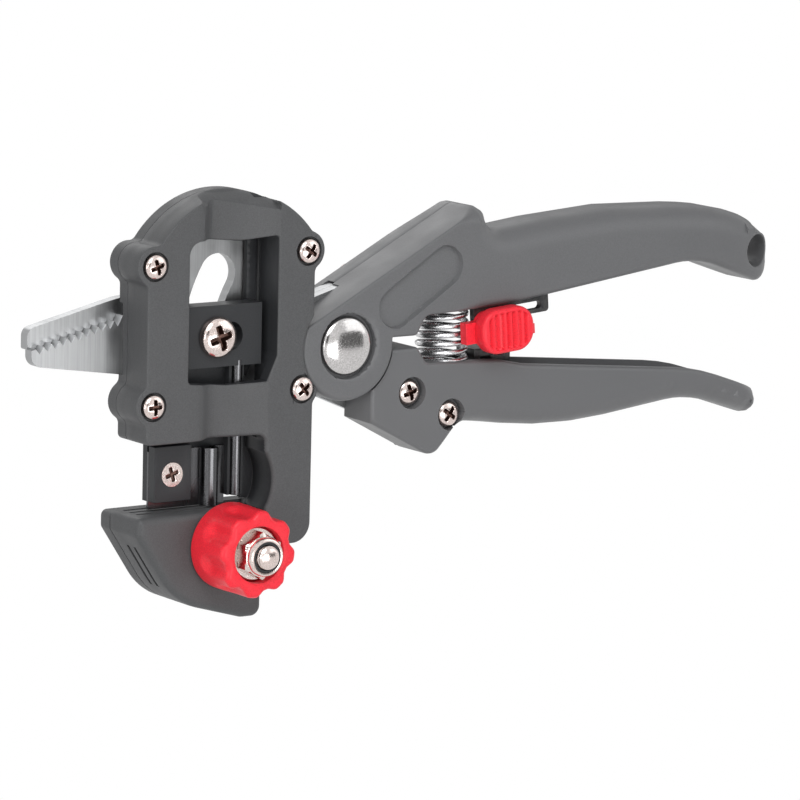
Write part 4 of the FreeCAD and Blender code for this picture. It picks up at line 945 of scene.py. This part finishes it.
NOSE_UNDERSIDE = [(-10.6, 9.2), (4.6, 13.5), (24.0, 23.5), (24.0, 50.0)]
under_nose = prism(NOSE_UNDERSIDE + [(-10.6, 50.0)], -4.0, 1.0)
in_window = [(-53.0, 14.2), (-46.0, 8.9), (-16.0, 8.9)] + NOSE_UNDERSIDE + [(-53.0, 50.0)]
in_window = prism(rounded_outline([(x, z, 1.5) for x, z in in_window]), -1.0, 4.0)
SOFTENED = [
    ("jaw_plate", "serrated_jaw", "upper_side", JAW_STEEL, "ground_steel", 0.14, {"under_nose": under_nose}),
    ("blade", "cutting_blade", "lower_side", JAW_STEEL, "ground_steel", 0.14, {"in_window": in_window}),
    ("plunger_block", "plunger", "plunger_set", PLUNGER_NYLON, "plunger_black", 0.22),
    ("knife_clamp_plate", "knife_holder", "plunger_set", PLUNGER_NYLON, "plunger_black", 0.22),
    ("rail", "lock_rail", "upper_side", BLACK_OXIDE, "rail_steel", 0.15),
    ("hook", "lock_hook", "lock_set", BLACK_OXIDE, "rail_steel", 0.2),
    ("catch", "lock_catch", "lower_side", BLACK_OXIDE, "rail_steel", 0.2),
    ("rail_rivet_heads", "rail_rivets", "upper_side", CHROME, "bright_fastener", 0.12),
    ("sliding_sleeve", "drive_sleeve", "lower_side", KNIFE_STEEL_SHADED, "ground_steel", 0.12),
    ("plunger_rod", "guide_rod", "plunger_set", KNIFE_STEEL_SHADED, "ground_steel", 0.12),
    ("folded_knife", "grafting_knife", "plunger_set", KNIFE_STEEL_SHADED, "ground_steel", 0.06),
    ("slider_pins", "lock_pins", "lock_set", BLACK_OXIDE, "rail_steel", 0.1),
    ("rear_washer", "pivot_washer", "upper_side", CHROME, "bright_fastener", 0.2),
    ("rear_bolt_head", "pivot_bolt", "upper_side", CHROME, "bright_fastener", 0.3),
]
for row in SOFTENED:
    softened(*row)

# %% [markdown]
# ## The head
#
# The head is two nylon mouldings screwed together: a front shell, and a rear cover that holds the jaw's
# plate. Its outline is read from the rim of the CAD cover.

# %% The outline of the head
HEAD_FRONT, HEAD_SEAM = -14.2, -5.0
HEAD_SCREWS = [(-56.5, 23.1), (-13.0, 24.4), (-56.5, -10.5), (-14.2, -9.2)]
WINDOW = rounded_outline([
    (-46.8, -5.8, 1.2), (-35.0, -7.0, 12.0), (-24.3, -6.6, 0.0), (-21.5, -0.5, 0.0), (-21.5, 28.7, 0.8),
    (-30.5, 27.5, 16.0), (-46.8, 28.6, 3.4),
], 0.8)


def rim_loops(node, level):
    """The closed outlines of a solid's flat face at Y = level, in drawing millimetres, the largest first."""
    mesh = nodes[node].data.copy()
    target = place((0, level, 0))[1]
    with editing(mesh, 2e-6) as shape:
        drop = [
            edge for edge in shape.edges
            if max(abs(edge.verts[0].co.y - target), abs(edge.verts[1].co.y - target)) > 3e-6
            or sum(abs(face.normal.y) > 0.9 for face in edge.link_faces) != 1
        ]
        bmesh.ops.delete(shape, geom=drop, context="EDGES")
        bmesh.ops.delete(shape, geom=list(shape.faces), context="FACES_ONLY")
    holder = linked("rim", mesh)
    with bpy.context.temp_override(
            active_object=holder, object=holder, selected_objects=[holder], selected_editable_objects=[holder]):
        bpy.ops.object.convert(target="CURVE")
    curve = holder.data
    loops = []
    for line in curve.splines:
        spots = np.empty(4 * len(line.points))
        line.points.foreach_get("co", spots)
        loops.append(((spots.reshape(-1, 4)[:, :3] - PIVOT) / MM)[:, [0, 2]])
    bpy.data.objects.remove(holder)
    bpy.data.curves.remove(curve)
    if mesh.name in bpy.data.meshes:
        bpy.data.meshes.remove(mesh)
    return sorted(loops, key=lambda loop: -np.ptp(loop[:, 0]) * np.ptp(loop[:, 1]))


head_rim = refine(rim_loops("head_rear_cover", HEAD_SEAM)[0])
print("points on the head's outline:", len(head_rim))

# %% [markdown]
# The front face sinks in a scoop above and below the window. It starts softly on the left, falls steeply and
# rises again in an even slope to a crisp edge on the right. Above it, a plane cuts the front of the arch's
# top, where a small notch lets a blade in to prise the halves apart. The screws' counterbores are steps in
# the same height field.

# %% The front shell
SCOOP_LEFT = -44.5
SCOOP_UPPER_RIGHT, SCOOP_LOWER_RIGHT = -21.3, -23.9
RAMP_LEVEL, RAMP_SLOPE, RAMP_Z = -11.0, 1.92, 36.6
SCREW_ROOM_R, SCREW_ROOM_DEPTH = 3.56, 1.1


def scoop(points):
    """Depth D * S(u) * (1 - u) / 0.74 across the window's width, S a soft step; D is 5.6 above, 2.9 below."""
    x, z = points.T
    right = np.where(z > 11.0, SCOOP_UPPER_RIGHT, SCOOP_LOWER_RIGHT)
    u = np.clip((x - SCOOP_LEFT) / (right - SCOOP_LEFT), 0.0, 1.0)
    return np.where(z > 11.0, 5.6, 2.9) * smooth(u, 0.04, 0.32) * (1 - u) / 0.74


def head_face(points):
    """Front face: the scoops, the plane y = -11 + 1.92 (z - 36.6) over the arch's top, and the counterbores."""
    x, z = points.T
    level = HEAD_FRONT + scoop(points)
    ramp = np.minimum(RAMP_LEVEL + RAMP_SLOPE * (z - RAMP_Z), -6.3)
    within = smooth(x, -44.0, -40.5) * ((z > 30.0) & (x < SCOOP_UPPER_RIGHT))
    level = np.maximum(level, HEAD_FRONT + (ramp - HEAD_FRONT) * within)
    for spot in HEAD_SCREWS:
        level = np.where(np.hypot(*(points - spot).T) < SCREW_ROOM_R, HEAD_FRONT + SCREW_ROOM_DEPTH, level)
    return level


def head_round(points):
    """Edge radius: 0.9 outside, 0.35 on the left where the edge is a crisp line, 0.4 at the window."""
    x, z = points.T
    window = (x > -47.2) & (x < -21.1) & (z > -7.4) & (z < 29.1)
    return np.where(window, 0.4, 0.9 - 0.55 * (1 - smooth(x, -46.0, -36.0)))


def upright_line(x, z0, z1):
    """Points up a step of the face, so that the triangles follow it."""
    z = np.arange(z0, z1, 0.7)
    return np.column_stack([np.full(len(z), x), z])


steps = [upright_line(SCOOP_UPPER_RIGHT + d, 29.2, 38.4) for d in (-0.06, 0.04)]
steps += [upright_line(SCOOP_LOWER_RIGHT + d, -19.2, -6.9) for d in (-0.06, 0.04)]
across = np.arange(-39.5, -21.4, 0.8)
sunk = HEAD_FRONT + scoop(np.column_stack([across, np.full(len(across), 36.0)]))
ramp_edge = RAMP_Z + (sunk - RAMP_LEVEL) / RAMP_SLOPE
steps += [np.column_stack([across, ramp_edge + step]) for step in (-0.04, 0.04)]
steps += [ring(x, z, SCREW_ROOM_R + d, 44) for x, z in HEAD_SCREWS for d in (-0.03, 0.03)]
shell = to_mesh("head_shell", slab([head_rim, WINDOW], head_face, HEAD_SEAM, head_round, 0.22, 1.3, steps))
shell = carved(shell, {
    "plunger_room": block(-54.0, -22.1, -10.75, -4.0, -19.8, 26.5),
    "knife_room": block(-54.0, -23.8, -10.75, -4.0, -20.8, -6.5),
    "boss_room": prism(ring(0, 0, 13.65, 80), -13.05, -4.0),
    "prising_notch": block(-25.9, -22.2, -9.2, -6.9, 34.9, 42.0),
    **bores(HEAD_SCREWS, 1.55, -16.0, -4.0),
})
shell_piece = add_piece("head_shell", shell, "upper_side", HEAD_NYLON, ["head_front_shell"], 32)

# %% [markdown]
# The shade in the channel behind the window is painted: its inner walls take the black nylon as painted shade,
# so the plunger's room reads as a dark hole, and a narrow black sheet of painted shade stands at the right of
# the plunger, in front of the plate.

# %% The black channel, painted shade
def second_finish(piece, finish, chosen):
    """Gives a second finish to faces chosen by their centres and normals, in drawing millimetres."""
    mesh = piece.data
    centre, normal = np.empty(3 * len(mesh.polygons)), np.empty(3 * len(mesh.polygons))
    mesh.polygons.foreach_get("center", centre)
    mesh.polygons.foreach_get("normal", normal)
    pick = chosen((centre.reshape(-1, 3) - PIVOT) / MM, normal.reshape(-1, 3))
    mesh.materials.append(finish)
    mesh.polygons.foreach_set("material_index", pick.astype(np.int32))
    print(piece.name, int(pick.sum()), "faces in", finish.name)


def channel_painted_shade(centre, normal):
    """Faces given painted shade: the window's walls, the walls of the plunger's room and its floor, and the
    guide below the window.
    """
    x, y, z = centre.T
    in_frame = (x > -47.4) & (x < -21.0) & (z > -7.5) & (z < 29.2)
    behind = (x > -54.1) & (x < -21.9) & (z > -20.9) & (z < 26.6) & (y > -10.9)
    below = (x > -34.0) & (x < -17.0) & (z > -44.5) & (z < -18.5) & (y > -13.4) & (normal[:, 0] < -0.3)
    return ((in_frame & (y > -13.7) | below) & (np.abs(normal[:, 1]) < 0.6)) | (behind & (y < -5.05))


second_finish(shell_piece, PLUNGER_NYLON, channel_painted_shade)
# A narrow black sheet of painted shade at the right of the plunger, in front of the plate.
SHADE_SHEET = [
    (-25.4, -36.5), (-20.2, -36.5), (-20.2, -19.0), (-21.9, -18.0), (-21.9, 27.5), (-24.7, 27.5),
    (-24.7, -18.0), (-25.4, -19.0),
]
shade_sheet = to_mesh("painted_shade_sheet", slab(
    [rounded_outline([(x, z, 0.3) for x, z in SHADE_SHEET], 2.0)], -4.9, -3.1, 0.15, 0.15, 1.2))
add_piece("painted_shade_sheet", shade_sheet, "upper_side", PLUNGER_NYLON, [])

# %% [markdown]
# The rear cover keeps its CAD shape, with rounded edges that leave a fine dark line where it meets the
# shell.

# %% The rear cover
softened("head_cover", "head_rear_cover", "upper_side", HEAD_NYLON, "head_grey", 0.24, segments=2)

# %% [markdown]
# The anvil is a soft-edged boot of the same nylon. Three grooves for the knife run along its top, and two
# slots from the mould's cores open in its sloping underside.

# %% The anvil
BOLT = (-36.4, -45.2)
ANVIL_TIP = (-61.4, -41.2)
ANVIL_SLOPE = math.radians(56.8)
GROOVES, GROOVE_WIDTH = (-10.9, -7.9, -4.9), 1.2
CORES, CORE_WIDTH = (-8.25, -11.25), 1.1

anvil_line = rounded_outline([
    ANVIL_TIP + (1.9,), (-50.15, -58.41, 17.33), (-31.1, -63.8, 4.0), (-25.8, -63.8, 2.6), (-25.8, -36.9, 9.85),
    (-61.4, -36.9, 1.5),
])
anvil = to_mesh("anvil_boot", slab([anvil_line], -16.05, -3.05, 1.8, 0.4))
core = np.array([(4.11, -1.0), (16.45, -1.0), (16.45, 5.2), (4.11, 5.2)])
core = np.column_stack(swing(*core.T, -ANVIL_SLOPE)) + ANVIL_TIP
anvil = carved(anvil, {
    "bolt_bore": prism(ring(*BOLT, 3.05, 40), -18.0, -1.0),
    **{"groove_%d" % i: block(-58.4, -27.8, y, y + GROOVE_WIDTH, -38.8, -30.0) for i, y in enumerate(GROOVES)},
    **{"core_%d" % i: prism(core, y, y + CORE_WIDTH) for i, y in enumerate(CORES)},
})
add_piece("anvil_boot", anvil, "anvil_set", HEAD_NYLON, ["anvil"], 34)

# %% [markdown]
# ## Screws
#
# All small screws have the same form: a low domed head, rounder at its rim than a ball would be, with a
# cross recess whose walls lean in towards the centre. The head is one height field over a disc, and the
# shank below it is turned.

# %% Cross-recessed screws
SCREW_COUNT = 112
FIRST_TURN, NEXT_TURN = 18, 37
CHEEK_SCREWS = [(27.5, 22.0), (12.5, 14.4)]
SCREWS = [
    ("shell_screws", "head_screws", "upper_side", HEAD_SCREWS, HEAD_FRONT + 0.7, -0.05, 3.0, 1.9, 0.5, 1.5),
    ("tang_screw_heads", "tang_screws", "lower_side", TANG_PLACES, -8.9, 3.0, 3.25, 2.1, 0.6, 2.0),
    ("drive_screw_head", "drive_screw", "lower_side", [(-36.724, 4.509)], -10.5, 3.0, 5.0, 2.7, 0.6, 2.5),
    ("knife_clamp_screw", "knife_screw", "plunger_set", [(-48.6, -28.0)], -10.45, -5.1, 2.95, 0.02, 0.02, 1.4,
     True),
    ("cheek_screw_heads", "cheek_screws", "upper_side", CHEEK_SCREWS, 6.0, -6.5, 2.9, 1.7, 0.5, 1.5),
]


def cross_depth(u, v, size, deep):
    """Depth of a cross recess: two arms, flat inside and leaning at their walls, deepest at the centre."""
    def arm(p, q):
        across = 1 - smooth(np.abs(q), 0.10 * size, 0.18 * size)
        return across * (1 - smooth(np.abs(p), 0.50 * size, 0.66 * size))
    reach = np.hypot(u, v) / size
    return deep * np.maximum(arm(u, v), arm(v, u)) * (1 - 0.45 * np.clip(reach, 0, 1))


def screw(spot, seat, tip, head, rise, rim, shank, turn, flat=False):
    """A screw along Y: rise - crown * (1 - (1 - (r / R)^2.4)^(1 / 2.4)), less the cross recess."""
    way = 1.0 if tip > seat else -1.0
    radius = np.concatenate([np.linspace(0.02, 0.8, 27), np.linspace(0.83, 1.0, 8)])[:, None] * head
    angle = full_turn(SCREW_COUNT)
    u, v = radius * np.cos(angle - math.radians(turn)), radius * np.sin(angle - math.radians(turn))
    crown = 0.0 if flat else rise - rim
    height = rim + crown * (1 - (radius / head) ** 2.4) ** (1 / 2.4)
    y = seat - way * (height - cross_depth(u, v, head, 0.75 if flat else 0.78 * rise))
    under = seat + way * (head - shank) if flat else seat
    below = [(head, seat - way * rim * 0.3), (shank, under), (shank, tip - way * 0.3)]
    below += [(shank - 0.3, tip), (0.0, tip)]
    middle = turned(spot, [(0.0, y[0].mean())], SCREW_COUNT)
    top = around(spot, radius, y, angle)
    return grid_sheet(np.concatenate([middle, top, turned(spot, below, SCREW_COUNT)]), True)


def screw_set(name, replaced, body, places, seat, tip, head, rise, rim, shank, flat=False):
    """One piece for all copies of a screw; each is turned by its own angle, as screws are when tight."""
    turns = [FIRST_TURN + NEXT_TURN * i for i in range(len(places))]
    parts = [screw(spot, seat, tip, head, rise, rim, shank, turn, flat) for spot, turn in zip(places, turns)]
    piece = add_piece(name, to_mesh(name, parts), body, NICKEL, [replaced], 50)

    def cross_painted_shade(centre, normal):
        """Faces of the recess, which get a dark brown finish as painted shade."""
        pick = np.zeros(len(centre), bool)
        for spot, turn in zip(places, turns):
            x, z = (centre[:, [0, 2]] - spot).T
            u, v = swing(x, z, -math.radians(turn))
            pick |= (np.hypot(x, z) < head) & (cross_depth(u, v, head, 1.0) > 0.12)
        return pick & (np.abs(centre[:, 1] - seat) < rise + 1.0)

    second_finish(piece, RECESS_SHADE, cross_painted_shade)


for row in SCREWS:
    screw_set(*row)

# %% [markdown]
# The pivot's dome nut is one smooth cap. Its curve is close to a ball's near the middle and turns down fast
# at the rim, which is what draws the bright ring round it.

# %% The dome nut
DOME_R, DOME_RISE, DOME_RIM, DOME_SEAT = 7.3, 2.1, 0.55, -11.1
angle = np.radians(np.linspace(90, 0, 28))
cap = np.column_stack([DOME_R * np.cos(angle) ** 0.9, DOME_SEAT - DOME_RIM - DOME_RISE * np.sin(angle) ** 0.9])
cap[0, 0] = 0.0
under = [(DOME_R, -11.4), (7.05, DOME_SEAT), (4.05, DOME_SEAT), (4.05, -11.9), (0.0, -11.9)]
dome_nut = to_mesh("dome_nut", [lathe((0, 0), np.concatenate([cap, under]), 96)])
add_piece("dome_nut", dome_nut, "upper_side", CHROME, ["pivot_dome_nut"], 50)

# %% [markdown]
# ## The clamp knob
#
# The knob is a red moulding with eight soft lobes. Its hollows are deep at the front and run out towards the
# back with rounded ends, so the rear is a plain round hub. The radius is one function of the angle and of
# the depth, and the profile closes through the recess and the bore.

# %% The knob
KNOB_FRONT, KNOB_BACK, KNOB_R = -30.6, -16.1, 10.6
KNOB_BED = -26.3
KNOB_COUNT = 192
LOBE_STEP = 2 * math.pi / 8
LOBE_TURN = 0.12
FRONT_EDGE, REAR_EDGE = 1.3, 1.0
BOLT_ROOM_R = 3.05


def knob_sheet():
    """Radius R - 1.35 * (1 - t * t * (3 - 2 * t)), where t grows with the distance from a hollow's line."""
    bend = np.radians(np.linspace(0, 90, 8))[:, None]
    front = np.hstack([KNOB_R - FRONT_EDGE * (1 - np.sin(bend)), KNOB_FRONT + FRONT_EDGE * (1 - np.cos(bend))])
    sides = np.column_stack([np.full(24, KNOB_R), np.linspace(KNOB_FRONT + 1.5, KNOB_BACK - 1.2, 24)])
    rear = np.hstack([KNOB_R - REAR_EDGE * (1 - np.cos(bend)), KNOB_BACK - REAR_EDGE * (1 - np.sin(bend))])
    radius, level = np.hsplit(np.concatenate([front, sides, rear]), 2)
    angle = full_turn(KNOB_COUNT)
    away = (np.mod(angle + LOBE_TURN, LOBE_STEP) - LOBE_STEP / 2) * KNOB_R
    behind = np.maximum(0.0, level - (KNOB_FRONT + 6.4))
    radius = radius - 1.35 * (1 - smooth(np.hypot(away, behind * 0.8), 0.5, 3.3))
    inner = [
        (8.0, KNOB_BACK), (BOLT_ROOM_R, KNOB_BACK), (BOLT_ROOM_R, -20.0), (BOLT_ROOM_R, KNOB_BED),
        (6.8, KNOB_BED), (6.8, KNOB_FRONT + 0.5), (6.95, KNOB_FRONT + 0.12), (7.3, KNOB_FRONT),
    ]
    rows = np.concatenate([around(BOLT, radius, level, angle), turned(BOLT, inner, KNOB_COUNT)])
    return grid_sheet(rows, True, True)


knob = to_mesh("lobed_knob", [knob_sheet()])
add_piece("lobed_knob", knob, "knob_set", KNOB_RED, ["clamp_knob"], 40)

# %% [markdown]
# A washer, a lock nut with a nylon ring and the threaded end of the bolt sit in the knob's recess. The nut's
# corners are turned off in a lathe, so its outline is the lesser of a hexagon and a cone.

# %% Washer, lock nut and bolt
NUT_SEAT, NUT_HALF = -28.7, 5.0
NUT_CONE = np.array([
    (5.2, NUT_SEAT), (5.8, -28.9), (6.0, -29.4), (6.0, -31.0), (5.75, -32.0), (5.0, -32.5), (4.75, -32.55),
    (4.7, -33.5), (4.45, -33.95), (4.1, -34.1), (3.8, -34.05), (3.72, -33.8), (3.72, -33.6),
    (BOLT_ROOM_R, -33.6), (BOLT_ROOM_R, NUT_SEAT),
])
NYLON = [(3.72, -33.7), (3.66, -33.95), (3.2, -33.95), (3.02, -33.7), (3.02, -33.6), (3.72, -33.6)]
WASHER = [
    (BOLT_ROOM_R, NUT_SEAT), (6.2, NUT_SEAT), (6.45, -28.5), (6.45, -26.45), (6.2, KNOB_BED),
    (BOLT_ROOM_R, KNOB_BED),
]
THREAD_TIP, THREAD_END, THREAD_COUNT = -35.4, -15.0, 48


def nut_sheet():
    """Radius min(hexagon(a), cone(y)), closed through the crown, the ring's seat and the bore."""
    angle = full_turn(120)
    hexagon = NUT_HALF / np.cos(np.mod(angle + math.pi / 6, math.pi / 3) - math.pi / 6)
    return grid_sheet(around(BOLT, np.minimum(hexagon, NUT_CONE[:, :1]), NUT_CONE[:, 1:], angle), True, True)


def thread_rows():
    """The bolt's threaded front end: radius 2.98 - 0.3 * |2 * frac(y + a / 2 pi) - 1|, with a chamfered tip."""
    angle = full_turn(THREAD_COUNT)
    y = np.linspace(THREAD_TIP, THREAD_END, 164)[:, None]
    ridge = np.abs(2 * np.mod(y + angle / (2 * math.pi), 1.0) - 1)
    return around(BOLT, np.minimum(2.98 - 0.3 * ridge, 2.25 + (y - THREAD_TIP) * 1.2), y, angle)


nut = to_mesh("nyloc_nut", [nut_sheet()])
add_piece("nyloc_nut", nut, "upper_side", NICKEL, ["lock_nut"], 28)
nylon_ring = to_mesh("nylon_ring", [lathe_ring(BOLT, NYLON, 64)])
add_piece("nylon_ring", nylon_ring, "upper_side", PLUNGER_NYLON, [])
washer = to_mesh("flat_washer", [lathe_ring(BOLT, WASHER, 72)])
add_piece("flat_washer", washer, "upper_side", NICKEL, ["knob_washer"], 30)

tip = turned(BOLT, [(0.0, THREAD_TIP)], THREAD_COUNT)
shank = turned(BOLT, [(3.0, -14.8), (3.0, 0.9), (3.0, 0.95), (0.0, 0.95)], THREAD_COUNT)
bolt = to_mesh("clamp_bolt", [
    grid_sheet(np.concatenate([tip, thread_rows(), shank]), True),
    screw(BOLT, 1.0, 0.2, 6.2, 2.6, 0.8, 2.9, 12)])
add_piece("clamp_bolt", bolt, "upper_side", NICKEL, ["anvil_bolt"], 50)

# %% [markdown]
# ## The back of the nose
#
# The upper handle's nose is closed at the back by a second casting, screwed on, which covers the blade's
# disc. Its top carries the slope of the front half on to a soft hump over the grip, with a hairline seam
# between the two. Inside, it is hollowed so far as the blade needs to swing, and a slot near the head lets
# the blade out.

# %% The rear half of the nose
CHEEK_END = [(43.9, 25.4, 2.0), (47.0, 21.0, 0.0), (35.2, 19.0, 0.0), (35.2, 6.75, 0.0)]


def cheek_back_round(points):
    """Edge radius on the back: 0.9 round the boss and along the slope, growing to 3.0 at the apex."""
    return 0.9 + 2.1 * smooth(points[:, 0], 22.0, 40.0) * smooth(points[:, 1], 20.0, 26.0)


cheek = to_mesh("nose_back", slab([nose_line(CHEEK_END)], 0.02, 6.0, 0.2, cheek_back_round))
cheek = carved(cheek, {
    "grip_side": block(41.25, 60.0, -1.0, 7.0, 0.0, 60.0),
    "disc_room": prism(ring(0, 0, 14.45, 80), -1.0, 3.1),
    "blade_slot": block(-17.0, 4.4, -1.0, 3.1, -0.5, 40.0),
    "disc_opening": block(-14.6, 14.6, -1.0, 3.1, -14.6, 0.0),
    "spring_room": block(26.8, 36.4, -1.0, 3.65, -1.0, 11.0),
    "pivot_bore": prism(ring(0, 0, 4.05, 40), -1.0, 7.0),
    **bores(CHEEK_SCREWS, 1.55, -1.0, 7.0),
})
add_piece("nose_back", cheek, "upper_side", HANDLE_ENAMEL, ["rear_cheek"])

# %% [markdown]
# ## The spring
#
# The return spring is a coil of bright round wire with closed ends. Its middle line is a helix whose rise is
# small over the first and last turn, and the wire is a circle carried along it.

# %% The return spring
SPRING_SPOT = (34.4, GRIP_MID)
WIRE_R, COIL_R = 0.7, 6.0
SPRING_LOW, SPRING_HIGH = -10.78, 10.28
TURNS, CLOSED = 10.0, 0.75
CLOSED_PITCH = 1.46
SPRING_START = math.radians(200)


def spring_sheet():
    """Point = centre + R (cos a, sin a) + w (cos b e_r + sin b e_z); z rises 1.46 per turn at the ends."""
    turn = np.linspace(0, TURNS, 481)
    free = TURNS - 2 * CLOSED
    pitch = (SPRING_HIGH - SPRING_LOW - 2 * CLOSED * CLOSED_PITCH) / free
    ends = np.minimum(turn, CLOSED) + np.maximum(turn - TURNS + CLOSED, 0)
    z = (SPRING_LOW + CLOSED_PITCH * ends + pitch * np.clip(turn - CLOSED, 0, free))[:, None]
    a = (2 * math.pi * turn + SPRING_START)[:, None]
    b = full_turn(16)
    thick = WIRE_R * np.sqrt(np.clip(np.minimum(turn, TURNS - turn) / 0.02, 0.0, 1.0))[:, None]
    reach = COIL_R + thick * np.cos(b)
    x, y = SPRING_SPOT[0] + reach * np.cos(a), SPRING_SPOT[1] + reach * np.sin(a)
    return grid_sheet(np.stack([x, y, z + thick * np.sin(b)], -1), True)


spring = add_piece(
    "coil_spring", to_mesh("coil_spring", [spring_sheet()]), "", WIRE, ["return_spring"], 60)
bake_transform(spring)

# %% [markdown]
# ## The lock's thumb pad
#
# The pad is a red moulding with a raised rim and seven rounded grooves for the thumb. It is drawn level, as
# a height field whose grooves are a cosine across it, and then turned to the slope of the handle. The rest
# of the slider, behind the pad, keeps its CAD shape.

# %% The pad and its slider
PAD = (45.4, 1.5)
PAD_SLOPE = math.radians(5.0)
PAD_WIDE, PAD_HIGH, PAD_CORNER = 7.9, 5.65, 5.0
PAD_FRONT, PAD_BACK = -17.0, -13.2
RIB_PITCH, RIB_DEPTH = 1.75, 1.05


def pad_reach(points):
    """How far inside the pad's outline a point lies."""
    beyond = np.maximum(np.abs(points - PAD) - (PAD_WIDE - PAD_CORNER, PAD_HIGH - PAD_CORNER), 0)
    return PAD_CORNER - np.hypot(*beyond.T)


def pad_face(points):
    """Front face: 1.05 * (1 + cos(2 pi u / 1.75)) / 2 deep inside the rim."""
    u = points[:, 0] - PAD[0]
    groove = 0.5 + 0.5 * np.cos(2 * math.pi * u / RIB_PITCH)
    within = smooth(pad_reach(points), 0.9, 1.5) * (1 - smooth(np.abs(u), 5.75, 6.1))
    return PAD_FRONT + RIB_DEPTH * within * groove ** 0.8 - 0.12 * smooth(pad_reach(points), 0.2, 2.5)


def sloped(parts):
    """The same surfaces, turned about the pad's centre to the handle's slope."""
    made = []
    for points, faces in parts:
        x, z = swing(*(points[:, [0, 2]] - PAD).T, PAD_SLOPE)
        made.append((np.column_stack([PAD[0] + x, points[:, 1], PAD[1] + z]), faces))
    return made


pad_line = rounded_outline([(PAD[0] + a * PAD_WIDE, PAD[1] + b * PAD_HIGH, PAD_CORNER) for a, b in SQUARE], 0.5)
pad = to_mesh("thumb_pad", sloped(slab([pad_line], pad_face, PAD_BACK, 1.0, 0.3, 0.24)))
add_piece("thumb_pad", pad, "lock_set", KNOB_RED, [], 40)
pad_room = {"pad_room": block(30.0, 62.0, -20.0, PAD_BACK - 0.1, -12.0, 16.0)}
softened("slider_body", "lock_slider", "lock_set", KNOB_RED, "knob_red", 0.35, pad_room)
